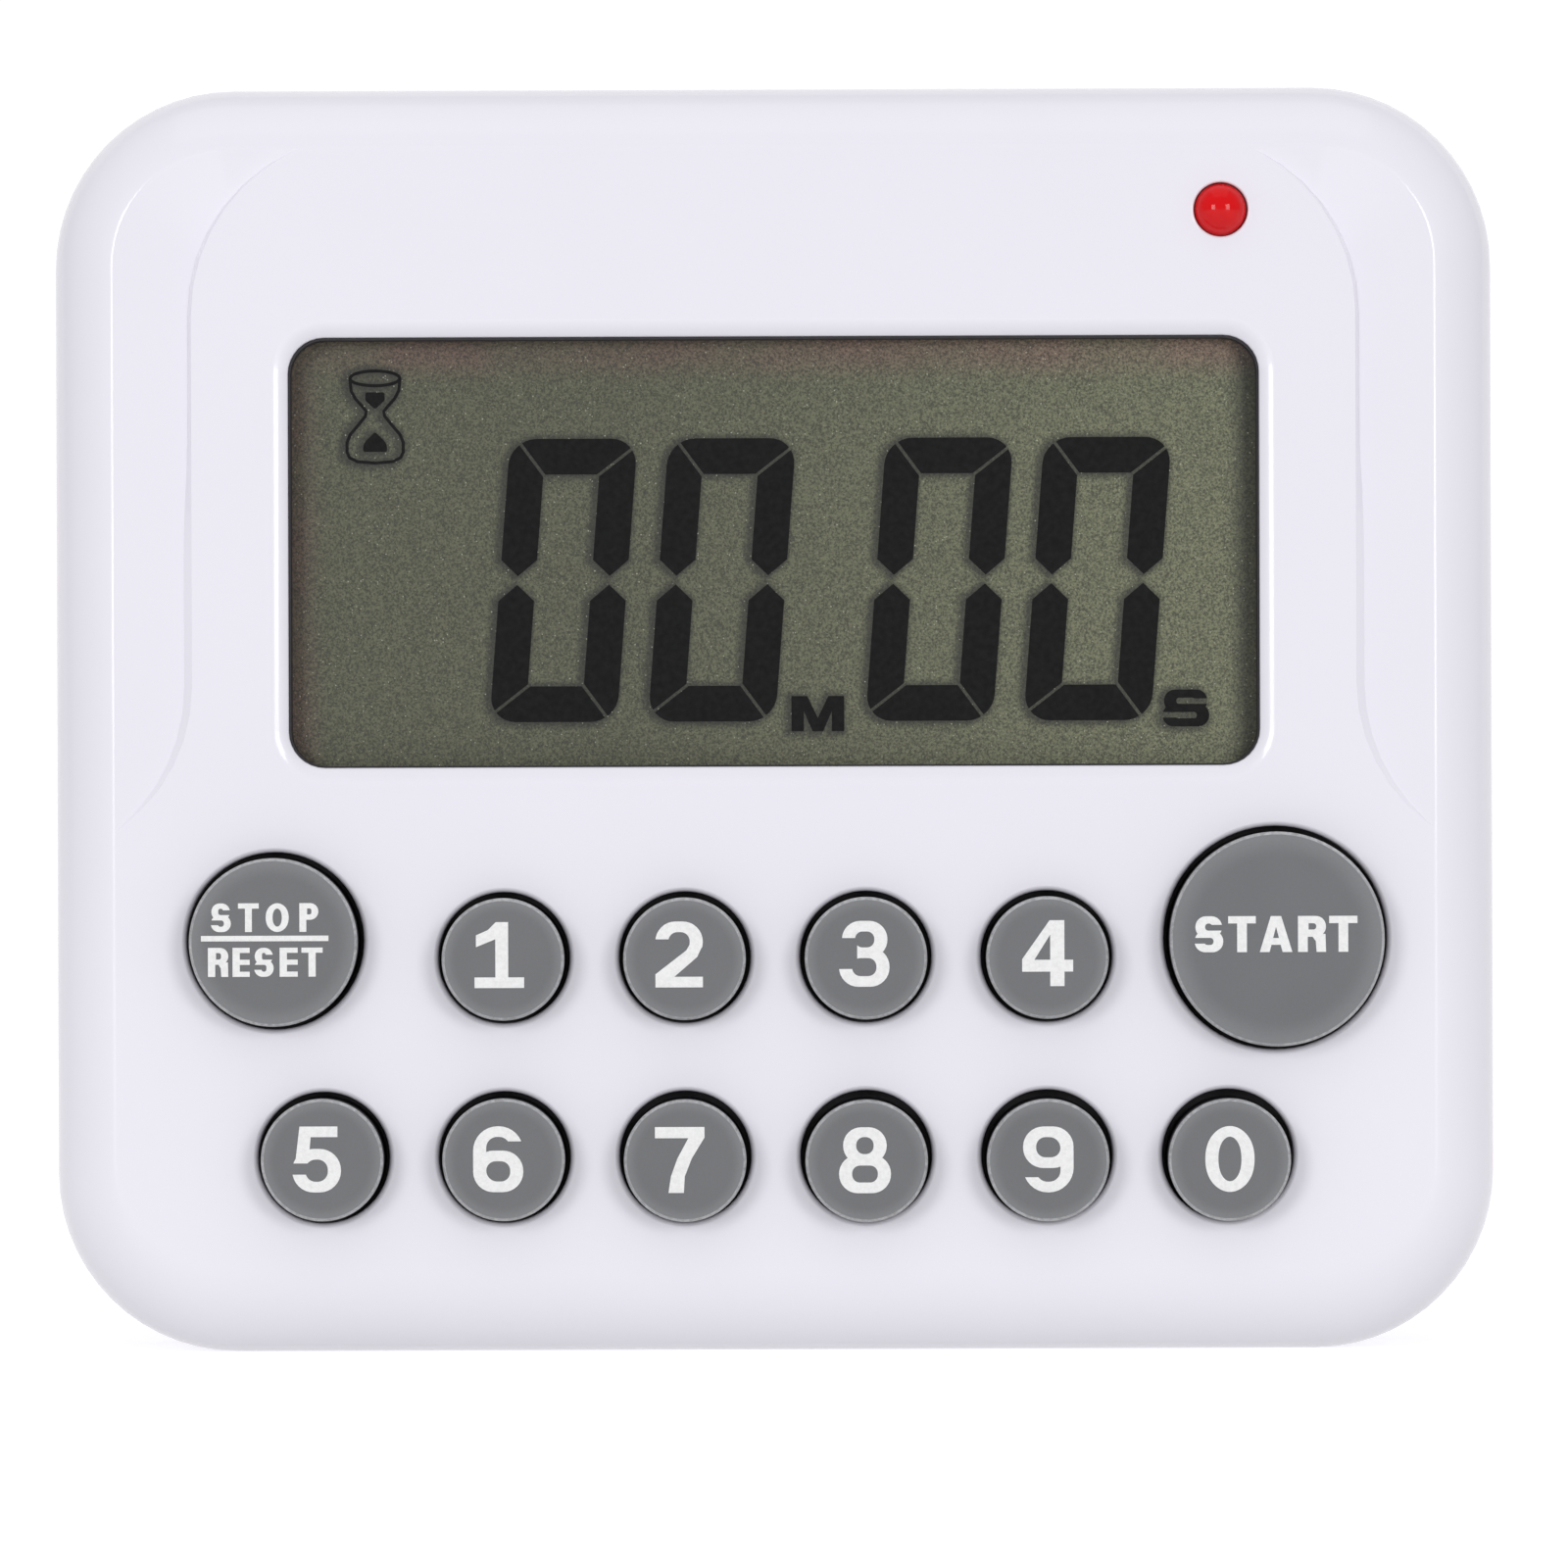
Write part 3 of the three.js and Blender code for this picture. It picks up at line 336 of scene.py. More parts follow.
def piece(bm, name, body, finishes, stands_for=(), crisp=32, flat_faces=False):
    """Turns a shape to metres and makes it a finished piece that rides on a body of the frame."""
    bmesh.ops.scale(bm, vec=(MM, MM, MM), verts=bm.verts)
    mesh = as_mesh(bm, name)
    mesh.shade_smooth()
    mesh.set_sharp_from_angle(angle=math.radians(crisp))
    obj = bpy.data.objects.new(name, mesh)
    bpy.context.scene.collection.objects.link(obj)
    for finish in finishes:
        mesh.materials.append(finish)
    if flat_faces:
        weighted = obj.modifiers.new("flat faces", "WEIGHTED_NORMAL")
        weighted.keep_sharp = True
        weighted.weight = 80
    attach(obj, body)
    if stands_for:
        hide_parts(*stands_for)
    return obj


def paint(bm, index, test):
    """Gives a material index to every face whose middle passes a test."""
    for face in bm.faces:
        if test(face.calc_center_median(), face.normal):
            face.material_index = index


# ---------------------------------------------------------------- finishes


def add(tree, kind, inputs=None, **settings):
    """Adds a shader node; inputs are values or the sockets that feed them."""
    node = tree.nodes.new("ShaderNode" + kind)
    for key, value in settings.items():
        setattr(node, key, value)
    for key, value in (inputs or {}).items():
        if isinstance(value, bpy.types.NodeSocket):
            tree.links.new(value, node.inputs[key])
        else:
            node.inputs[key].default_value = value
    return node


def started(name):
    """A new node material, with its tree emptied, and the Object coordinates to draw patterns on."""
    material = bpy.data.materials.new(name)
    material.use_nodes = True
    tree = material.node_tree
    tree.nodes.clear()
    return material, tree, add(tree, "TexCoord").outputs["Object"]


def surfaced(tree, inputs):
    """Ends a material in a principled shader."""
    shader = add(tree, "BsdfPrincipled", inputs)
    add(tree, "OutputMaterial", {"Surface": shader.outputs["BSDF"]})


def moulded_white_abs(base):
    """Injection moulded ABS, white with a cool cast: a satin gloss over a very fine spark-eroded texture."""
    material, tree, place = started("moulded_white_abs")
    # The mould texture is about 0.15 mm across, drawn at 0.3 mm so that it still shows.
    grain = add(tree, "TexNoise", {"Vector": place, "Scale": 1 / (0.3 * MM), "Detail": 2.0, "Roughness": 0.6})
    # Slow drift in the thickness of the moulding, some 18 mm across, tints the white a little.
    drift = add(tree, "TexNoise", {"Vector": place, "Scale": 1 / (18 * MM), "Detail": 2.0})
    shade = add(tree, "MapRange", {"Value": drift.outputs["Fac"], **NOISE_SPAN, "To Min": 0.985, "To Max": 1.0})
    tint = add(tree, "HueSaturation", {"Color": base, "Value": shade.outputs["Result"]})
    gloss = add(tree, "MapRange", {"Value": grain.outputs["Fac"], "To Min": 0.34, "To Max": 0.46})
    bump = add(tree, "Bump", {"Height": grain.outputs["Fac"], "Strength": 0.12, "Distance": 0.012 * MM})
    surfaced(tree, {
        "Base Color": tint.outputs["Color"], "Roughness": gloss.outputs["Result"], "Normal": bump.outputs["Normal"],
        "IOR": 1.5, "Coat Weight": 0.9, "Coat Roughness": 0.12,
    })
    return material


def sprayed_grey_abs(name, base, rim):
    """The grey lacquer on the key caps: even and low in gloss, with the faint mottle of a sprayed coat, rubbed paler
    towards the edge of the cap."""
    material, tree, place = started(name)
    # Spray droplets about 0.12 mm across, drawn at 0.2 mm.
    droplets = add(tree, "TexNoise", {"Vector": place, "Scale": 1 / (0.2 * MM), "Detail": 3.0, "Roughness": 0.7})
    cloud = add(tree, "TexNoise", {"Vector": place, "Scale": 1 / (3 * MM), "Detail": 1.0})
    both = add(tree, "MixRGB", {"Fac": 0.45, "Color1": droplets.outputs["Color"], "Color2": cloud.outputs["Color"]})
    shade = add(tree, "MapRange", {"Value": both.outputs["Color"], **NOISE_SPAN, "To Min": 0.93, "To Max": 1.05})
    rubbed = add(tree, "Attribute", attribute_name="rubbed", attribute_type="GEOMETRY")
    worn = add(tree, "MapRange", {
        "Value": rubbed.outputs["Fac"], "From Min": 0.75, "From Max": 0.98, "To Min": 0.0, "To Max": 0.2,
    }, interpolation_type="SMOOTHSTEP")
    coat = add(tree, "MixRGB", {"Fac": worn.outputs["Result"], "Color1": base, "Color2": rim})
    tint = add(tree, "HueSaturation", {"Color": coat.outputs["Color"], "Value": shade.outputs["Result"]})
    bump = add(tree, "Bump", {"Height": droplets.outputs["Fac"], "Strength": 0.15, "Distance": 0.01 * MM})
    surfaced(tree, {
        "Base Color": tint.outputs["Color"], "Roughness": 0.46, "Normal": bump.outputs["Normal"], "IOR": 1.5,
    })
    return material


def printed_ink(base):
    """Pad-printed off-white ink: opaque, a touch uneven where the print is thin."""
    material, tree, place = started("pad_printed_ink")
    # Thin spots in the print are about 0.15 mm across.
    thin = add(tree, "TexNoise", {"Vector": place, "Scale": 1 / (0.22 * MM), "Detail": 3.0, "Roughness": 0.7})
    shade = add(tree, "MapRange", {
        "Value": thin.outputs["Fac"], "From Min": 0.35, "From Max": 0.6, "To Min": 0.9, "To Max": 1.0,
    })
    tint = add(tree, "HueSaturation", {"Color": base, "Value": shade.outputs["Result"]})
    surfaced(tree, {"Base Color": tint.outputs["Color"], "Roughness": 0.55, "IOR": 1.5})
    return material


def moulded_rubber(base):
    """Compression moulded silicone rubber, near black: soft, dull, with a dusty bloom."""
    material, tree, place = started("moulded_silicone_rubber")
    bloom = add(tree, "TexNoise", {"Vector": place, "Scale": 1 / (0.5 * MM), "Detail": 3.0})
    shade = add(tree, "MapRange", {"Value": bloom.outputs["Fac"], **NOISE_SPAN, "To Min": 0.8, "To Max": 1.3})
    tint = add(tree, "HueSaturation", {"Color": base, "Value": shade.outputs["Result"]})
    bump = add(tree, "Bump", {"Height": bloom.outputs["Fac"], "Strength": 0.1, "Distance": 0.02 * MM})
    surfaced(tree, {
        "Base Color": tint.outputs["Color"], "Roughness": 0.62, "Normal": bump.outputs["Normal"], "IOR": 1.41,
    })
    return material


def display_film(settings):
    """A matt polariser over a dull reflector: olive grey with fine grain. Painted light and shade: highlights for its
    sparkle, a browner band inside its left and top edges, a shadow of the window wall on each side, more light
    towards the right, and the shadow of the segments.
    """
    material, tree, place = started("matt_polariser_film")
    low = Vector((-WINDOW_HALF, 0, WINDOW_LOW)) * MM
    high = Vector((WINDOW_HALF, 0, WINDOW_HIGH)) * MM
    # The anti-glare grain is under 0.1 mm. It is drawn at 0.13 mm, with the odd bright speck painted in as a
    # highlight where a facet would catch the light.
    grain = add(tree, "TexNoise", {"Vector": place, "Scale": 1 / (0.13 * MM), "Detail": 2.0, "Roughness": 0.8})
    speck = add(tree, "TexVoronoi", {"Vector": place, "Scale": 1 / (0.12 * MM)}, feature="F1")
    caught = add(tree, "SeparateColor", {"Color": speck.outputs["Color"]})
    spark = add(tree, "MapRange", {
        "Value": caught.outputs["Red"], "From Min": 0.93, "From Max": 1.0, "To Min": 0.0, "To Max": 0.55,
    })
    point = add(tree, "MapRange", {
        "Value": speck.outputs["Distance"], "From Min": 0.12, "From Max": 0.4, "To Min": 1.0, "To Max": 0.0,
    })
    painted_glint = add(tree, "Math", {0: spark.outputs["Result"], 1: point.outputs["Result"]}, operation="MULTIPLY")
    axes = add(tree, "SeparateXYZ", {"Vector": place})
    # Painted shade: the film is drawn browner, in patches, in a band 2.4 to 2.8 mm wide inside its left and top
    # edges.
    left = add(tree, "MapRange", {
        "Value": axes.outputs["X"], "From Min": low.x, "From Max": low.x + 2.4 * MM, "To Min": 1.0, "To Max": 0.0,
    }, interpolation_type="SMOOTHSTEP")
    top = add(tree, "MapRange", {
        "Value": axes.outputs["Z"], "From Min": high.z - 2.8 * MM, "From Max": high.z - 0.8 * MM,
    }, interpolation_type="SMOOTHSTEP")
    edge = add(tree, "Math", {0: left.outputs["Result"], 1: top.outputs["Result"]}, operation="MAXIMUM")
    patch = add(tree, "TexNoise", {"Vector": place, "Scale": 1 / (5 * MM), "Detail": 3.0})
    broken = add(tree, "MapRange", {"Value": patch.outputs["Fac"], "From Min": 0.35, "From Max": 0.6, "To Min": 0.5})
    painted_edge_shade = add(tree, "Math", {0: edge.outputs["Value"], 1: broken.outputs["Result"]}, operation="MULTIPLY")
    olive = add(tree, "MixRGB", {
        "Fac": painted_edge_shade.outputs["Value"], "Color1": settings.film_colour, "Color2": settings.edge_shade_colour,
    })
    # It lies under the edge of the window, so a painted shadow of the window wall darkens it beside each side, most
    # of all on the right.
    right_wall_shadow = add(tree, "MapRange", {
        "Value": axes.outputs["X"], "From Min": high.x - 1.9 * MM, "From Max": high.x - 0.6 * MM, "To Min": 1.0,
        "To Max": 0.32,
    }, interpolation_type="SMOOTHSTEP")
    dull = add(tree, "MapRange", {"Value": left.outputs["Result"], "To Min": 1.0, "To Max": 0.85})
    painted_wall_shadow = add(tree, "Math", {0: right_wall_shadow.outputs["Result"], 1: dull.outputs["Result"]}, operation="MULTIPLY")
    # Painted light: the film is drawn brighter towards the right.
    across = add(tree, "MapRange", {
        "Value": axes.outputs["X"], "From Min": low.x * 0.3, "From Max": high.x, "To Min": 0.85, "To Max": 1.5,
    })
    painted_light_and_wall_shadow = add(tree, "Math", {0: across.outputs["Result"], 1: painted_wall_shadow.outputs["Value"]}, operation="MULTIPLY")
    mottle = add(tree, "MapRange", {
        "Value": grain.outputs["Fac"], "From Min": 0.38, "From Max": 0.62, "To Min": 0.4, "To Max": 1.6,
    })
    light = add(tree, "Math", {0: painted_light_and_wall_shadow.outputs["Value"], 1: mottle.outputs["Result"]}, operation="MULTIPLY")
    shadow = add(tree, "Attribute", attribute_name="segment_shadow", attribute_type="GEOMETRY")
    open_area = add(tree, "MapRange", {"Value": shadow.outputs["Fac"], "To Min": 1.0, "To Max": 0.24})
    shaded = add(tree, "Math", {0: light.outputs["Value"], 1: open_area.outputs["Result"]}, operation="MULTIPLY")
    tint = add(tree, "HueSaturation", {"Color": olive.outputs["Color"], "Value": shaded.outputs["Value"]})
    # Painted highlights: each speck is mixed towards a pale colour.
    lit = add(tree, "MixRGB", {
        "Fac": painted_glint.outputs["Value"], "Color1": tint.outputs["Color"], "Color2": linear("E8E8D2"),
    })
    bump = add(tree, "Bump", {"Height": grain.outputs["Fac"], "Strength": 0.25, "Distance": 0.01 * MM})
    surfaced(tree, {
        "Base Color": lit.outputs["Color"], "Roughness": 0.5, "Normal": bump.outputs["Normal"], "IOR": 1.5,
    })
    return material


def liquid_crystal(base):
    """A segment that is on, seen through the matt film: near black with a blue-grey haze."""
    material, tree, place = started("liquid_crystal_segment")
    haze = add(tree, "TexNoise", {"Vector": place, "Scale": 1 / (0.35 * MM), "Detail": 3.0})
    shade = add(tree, "MapRange", {"Value": haze.outputs["Fac"], **NOISE_SPAN, "To Min": 0.8, "To Max": 1.3})
    tint = add(tree, "HueSaturation", {"Color": base, "Value": shade.outputs["Result"]})
    surfaced(tree, {"Base Color": tint.outputs["Color"], "Roughness": 0.6, "IOR": 1.15})
    return material


def cast_red_epoxy():
    """Diffused red epoxy, cast: glassy skin over a deep colour that glows a little from inside."""
    material, tree, place = started("cast_red_epoxy")
    cloud = add(tree, "TexNoise", {"Vector": place, "Scale": 1 / (0.9 * MM), "Detail": 1.0})
    tint = add(tree, "MixRGB", {"Fac": cloud.outputs["Fac"], "Color1": linear("CE0008"), "Color2": linear("E0040E")})
    surfaced(tree, {
        "Base Color": tint.outputs["Color"], "Roughness": 0.04, "IOR": 1.32, "Subsurface Weight": 0.2,
        "Subsurface Radius": (1.0, 0.1, 0.1), "Subsurface Scale": 0.8 * MM,
    })
    return material


def plated_metal(name, base, rough, wear=0.5):
    """Plated metal: bright, with the faint cloudiness and hairlines of the plating."""
    material, tree, place = started(name)
    cloud = add(tree, "TexNoise", {"Vector": place, "Scale": 1 / (1.1 * MM), "Detail": 4.0, "Roughness": 0.7})
    # Hairlines 0.1 mm apart, stretched along X.
    stretched = add(tree, "Mapping", {"Vector": place, "Scale": (0.12, 1.0, 1.0)})
    hairs = add(tree, "TexNoise", {"Vector": stretched.outputs["Vector"], "Scale": 1 / (0.1 * MM), "Detail": 2.0})
    shade = add(tree, "MapRange", {
        "Value": cloud.outputs["Fac"], **NOISE_SPAN, "To Min": 1 - 0.3 * wear, "To Max": 1.05,
    })
    tint = add(tree, "HueSaturation", {"Color": base, "Value": shade.outputs["Result"]})
    gloss = add(tree, "MapRange", {
        "Value": cloud.outputs["Fac"], **NOISE_SPAN, "To Min": rough + 0.12 * wear, "To Max": rough,
    })
    bump = add(tree, "Bump", {"Height": hairs.outputs["Fac"], "Strength": 0.12, "Distance": 0.006 * MM})
    surfaced(tree, {
        "Base Color": tint.outputs["Color"], "Roughness": gloss.outputs["Result"], "Metallic": 1.0,
        "Normal": bump.outputs["Normal"],
    })
    return material


def dull_solid(name, base, rough, grain_mm, spread=0.12, ior=1.5):
    """A plain opaque solid, such as glass fibre board, ceramic, cast epoxy or carbon-loaded rubber."""
    material, tree, place = started(name)
    grain = add(tree, "TexNoise", {"Vector": place, "Scale": 1 / (grain_mm * MM), "Detail": 4.0, "Roughness": 0.65})
    shade = add(tree, "MapRange", {
        "Value": grain.outputs["Fac"], **NOISE_SPAN, "To Min": 1 - spread, "To Max": 1 + spread,
    })
    tint = add(tree, "HueSaturation", {"Color": base, "Value": shade.outputs["Result"]})
    bump = add(tree, "Bump", {"Height": grain.outputs["Fac"], "Strength": 0.15, "Distance": 0.02 * MM})
    surfaced(tree, {
        "Base Color": tint.outputs["Color"], "Roughness": rough, "Normal": bump.outputs["Normal"], "IOR": ior,
    })
    return material


def solder_mask():
    """Green solder mask over glass fibre board: glossy, with the copper tracks showing as paler lines."""
    material, tree, place = started("solder_mask_on_fr4")
    # Tracks 0.4 mm wide run every 1.27 mm, in blocks.
    turned_place = add(tree, "Mapping", {"Vector": place, "Rotation": (math.radians(90), 0, 0)})
    tracks = add(tree, "TexBrick", {
        "Vector": turned_place.outputs["Vector"], "Scale": 1 / (10 * MM), "Mortar Size": 0.02, "Brick Width": 0.9,
        "Row Height": 0.127, "Color1": linear("1E5A30"), "Color2": linear("256B39"), "Mortar": linear("3F8A4E"),
    })
    weave = add(tree, "TexNoise", {"Vector": place, "Scale": 1 / (0.5 * MM), "Detail": 2.0})
    bump = add(tree, "Bump", {"Height": weave.outputs["Fac"], "Strength": 0.1, "Distance": 0.02 * MM})
    surfaced(tree, {
        "Base Color": tracks.outputs["Color"], "Roughness": 0.3, "Normal": bump.outputs["Normal"], "IOR": 1.5,
    })
    return material


def display_glass():
    """Drawn soda-lime glass: clear, faintly green."""
    material, tree, place = started("soda_lime_glass")
    waves = add(tree, "TexNoise", {"Vector": place, "Scale": 1 / (12 * MM), "Detail": 1.0})
    tint = add(tree, "MixRGB", {"Fac": waves.outputs["Fac"], "Color1": linear("DDE8DF"), "Color2": linear("EEF5EF")})
    surfaced(tree, {"Base Color": tint.outputs["Color"], "Roughness": 0.03, "IOR": 1.52, "Transmission Weight": 0.9})
    return material


def printed_jacket():
    """A shrink-wrapped printed jacket on a dry cell: glossy green with a bright band at its button end."""
    material, tree, place = started("printed_cell_jacket")
    axes = add(tree, "SeparateXYZ", {"Vector": place})
    reach = add(tree, "Math", {0: axes.outputs["X"]}, operation="ABSOLUTE")
    band = add(tree, "MapRange", {"Value": reach.outputs["Value"], "From Min": 15.0 * MM, "From Max": 15.2 * MM})
    scuff = add(tree, "TexNoise", {"Vector": place, "Scale": 1 / (0.8 * MM), "Detail": 4.0})
    green = add(tree, "MixRGB", {
        "Fac": band.outputs["Result"], "Color1": linear("2E6B49"), "Color2": linear("C9CCC6"),
    })
    gloss = add(tree, "MapRange", {"Value": scuff.outputs["Fac"], "To Min": 0.22, "To Max": 0.42})
    surfaced(tree, {
        "Base Color": green.outputs["Color"], "Roughness": gloss.outputs["Result"], "IOR": 1.5, "Coat Weight": 0.3,
    })
    return material


finishes = {}


def finish(name):
    """The material of that name, made on first use."""
    scene = bpy.context.scene
    keys = scene.timer_keys
    makers = {
        "case": lambda: moulded_white_abs(scene.timer_case.abs_colour),
        "cap": lambda: sprayed_grey_abs("sprayed_grey_abs", keys.cap_colour, keys.rim_colour),
        "start_cap": lambda: sprayed_grey_abs("sprayed_dark_grey_abs", keys.start_colour, keys.rim_colour),
        "rim": lambda: dull_solid("rubbed_grey_abs", keys.rim_colour, 0.25, 0.25, 0.3),
        "ink": lambda: printed_ink(keys.ink_colour),
        "rubber": lambda: moulded_rubber(keys.rubber_colour),
        "film": lambda: display_film(scene.timer_display),
        "segment": lambda: liquid_crystal(scene.timer_display.segment_colour),
        "lamp": cast_red_epoxy,
        "steel": lambda: plated_metal("zinc_plated_steel", linear("B9BCC0"), 0.3),
        "nickel": lambda: plated_metal("nickel_plate", linear("CBC7BC"), 0.22, 0.3),
        "magnet": lambda: plated_metal("nickel_plated_magnet", linear("C4C3C0"), 0.18, 0.4),
        "brass": lambda: plated_metal("rolled_brass", linear("C8A24C"), 0.28),
        "tin": lambda: plated_metal("tinned_wire", linear("C9CBCC"), 0.35),
        "board": solder_mask,
        "glass": display_glass,
        "reflector": lambda: plated_metal("satin_reflector_foil", linear("A6A798"), 0.45, 0.2),
        "holder": lambda: dull_solid("moulded_holder_plastic", linear("E2E2DD"), 0.5, 0.4, 0.03),
        "epoxy": lambda: dull_solid("cast_black_epoxy", linear("0F0F10"), 0.32, 0.8),
        "ceramic": lambda: dull_solid("fired_piezo_ceramic", linear("E6E2D6"), 0.55, 0.25, 0.05),
        "jacket": printed_jacket,
    }
    if name not in finishes:
        finishes[name] = makers[name]()
    return finishes[name]


# ---------------------------------------------------------------- the case


def middle_of(node):
    """The middle (x, z) of a CAD node."""
    low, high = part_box(node)
    return mm(low.x + high.x) / 2, mm(low.z + high.z) / 2


def post_places():
    """Where the four case screws stand, as (name, x, z)."""
    for name in CORNERS:
        yield name, *middle_of("case_screw_" + name)


def key_places():
    """Every key's name, middle and cap radius, read from the frame."""
    for name in ["stop_reset", "start", *DIGIT_KEYS]:
        low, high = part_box("key_cap_" + name)
        yield name, *middle_of("key_cap_" + name), round(mm(high.x - low.x) / 2, 2)


def case_outline(case, side_inset, bottom_inset):
    """The case seen from the front, drawn in from its edge."""
    half, top = mm(case.width) / 2 - side_inset, mm(case.height) - side_inset
    return rounded(-half, half, bottom_inset, top, mm(case.corner) - side_inset)


def shoulder_row(case, drop):
    """The outline of the front half at a depth behind the face: an elliptical shoulder, creased where it meets
    the face at the sides and top, and a tangent roll along the bottom."""
    across, deep, flat = mm(case.shoulder_across), mm(case.shoulder_deep), mm(case.crease_inset)
    reach = deep * math.sqrt(1 - (1 - flat / across) ** 2)
    lean = math.atan(deep / across * (1 - flat / across) * deep / reach)
    rise = reach - drop
    soft = mm(case.crease_round)
    if drop < soft * (1 - math.cos(lean)):
        side = flat + soft * math.tan(lean / 2) - math.sqrt(soft**2 - (soft - drop) ** 2)
    else:
        side = across * (1 - math.sqrt(1 - (rise / deep) ** 2))
    bottom = mm(case.roll_across) * (1 - math.sqrt(max(0.0, 1 - (rise / reach) ** 2)))
    return case_outline(case, side, bottom), FACE_Y + drop


def front_body(case):
    """The outside of the front case as a solid block, from the seam to the face."""
    chamfer = 0.12
    seam = SEAM_Y - SEAM_GAP / 2
    across, deep, flat = mm(case.shoulder_across), mm(case.shoulder_deep), mm(case.crease_inset)
    reach = deep * math.sqrt(1 - (1 - flat / across) ** 2)
    rows = [(case_outline(case, chamfer, chamfer), seam), (case_outline(case, 0, 0), seam - chamfer)]
    rows += [shoulder_row(case, reach * (1 - math.sin(a))) for a in arc(36)]
    return loft(rows, 14)


def panel_tool():
    """The raised middle of the face, with the step down its sides: steep at the top, gentler below."""
    foot, shelf, top = 28.1, 33.0, 69.3
    rows = []
    for low_out, high_out, y in [
        (0, 0, -12.5),
        (0, 0, FACE_Y - 0.02),
        (0.015, 0.008, FACE_Y + 0.005),
        (0.05, 0.03, FACE_Y + 0.03),
        (0.2, 0.09, FACE_Y + 0.13),
        (0.6, 0.24, FACE_Y + 0.42),
        (1.1, 0.44, FACE_Y + 0.8),
    ]:
        right = [
            (60, foot + low_out, 0),
            (shelf + low_out, foot + low_out, 9.8 - low_out),
            (shelf + low_out, 46.5, 1.5),
            (shelf + high_out, 52.5, 1.5),
            (shelf + high_out, top + high_out, 10.3 + high_out),
        ]
        left = [(-x, z, radius) for x, z, radius in reversed(right)]
        rows.append(([(-60, -20, 0), (60, -20, 0), *right, *left], y))
    return loft(rows, 10)


def wing_tool(case):
    """The tilted face on each side of the panel, which starts at the crease and sinks towards the panel."""
    fall = math.tan(case.wing_slope)
    flat = mm(case.crease_inset)
    rows = [(case_outline(case, flat - 0.5, 2), -11.5)]
    for inset in (-0.5, 3, 6):
        rows.append((case_outline(case, flat + inset, 2), FACE_Y + fall * inset))
    return combined(loft(rows, 14), [panel_tool()], "DIFFERENCE")


def window_tool():
    """The display window and the soft slope that leads into it."""
    hole = rounded(-WINDOW_HALF, WINDOW_HALF, WINDOW_LOW, WINDOW_HIGH, 2.05)
    rows = [(grown(hole, 1), -12), (grown(hole, 1), FACE_Y)]
    for step in range(1, 9):
        along = 0.93 * step / 8
        rows.append((grown(hole, 1 - along), FACE_Y + 0.09 * along + 0.36 * along**2))
    rows += [(grown(hole, 0.02), FACE_Y + 0.45), (hole, FACE_Y + 0.52), (hole, FRONT_INSIDE_Y + 0.6)]
    return loft(rows, 8)


def face_hole(x, z, wall, lip, back_y, steps):
    """A round hole in the face with a rounded mouth."""
    mouth = [(wall + lip * (1 - math.sin(a)), FACE_Y + lip * (1 - math.cos(a))) for a in arc(steps)]
    return turned([(0, -12.5), (wall + lip, -12.5), *mouth, (wall, back_y), (0, back_y)], x, z, 72)


class TIMER_OT_front_case(Operator):
    """Builds the front case: shoulder, panel, window, key holes and the posts inside"""

    bl_idname = "timer.front_case"
    bl_label = "Front case"

    def execute(self, context):
        case = context.scene.timer_case
        inner = [(case_outline(case, WALL + 3.4 * (1 - math.sin(a)), WALL + 3.4 * (1 - math.sin(a))),
                  FRONT_INSIDE_Y + 3.4 * (1 - math.cos(a))) for a in arc(8)]
        cavity = loft([*inner, (case_outline(case, WALL, WALL), 3)], 14)
        shell = combined(front_body(case), [cavity], "DIFFERENCE")
        root = FRONT_INSIDE_Y - 0.3
        inside = [rod(x, z, 2.9, root, SEAM_Y - 0.4) for _, x, z in post_places()]
        inside += [rod(side * BOARD_SCREW_X, BOARD_SCREW_Z, 2, root, -3.75) for side in (-1, 1)]
        inside += [bar(x, x + 1, root, -4.2, 50, 57) for x in (-31.9, 30.9)]
        inside.append(rod(LAMP_X, LAMP_Z, 2.6, root, -6.6))
        body = combined(shell, inside, "UNION")
        side_gap = mm(context.scene.timer_keys.side_gap)
        holes = [face_hole(x, z, radius + side_gap, 0.3, -7.7, 6) for _, x, z, radius in key_places()]
        holes += [rod(x, z, 1.25, -6.5, SEAM_Y + 1) for _, x, z in post_places()]
        holes += [rod(side * BOARD_SCREW_X, BOARD_SCREW_Z, 1, -7.6, -2) for side in (-1, 1)]
        holes.append(face_hole(LAMP_X, LAMP_Z, 1.53, 0.15, -6, 4))
        body = combined(body, [*holes, window_tool(), wing_tool(case)], "DIFFERENCE")
        piece(body, "front_shell", "case", [finish("case")], ["front_case"], 28, True)
        return {"FINISHED"}


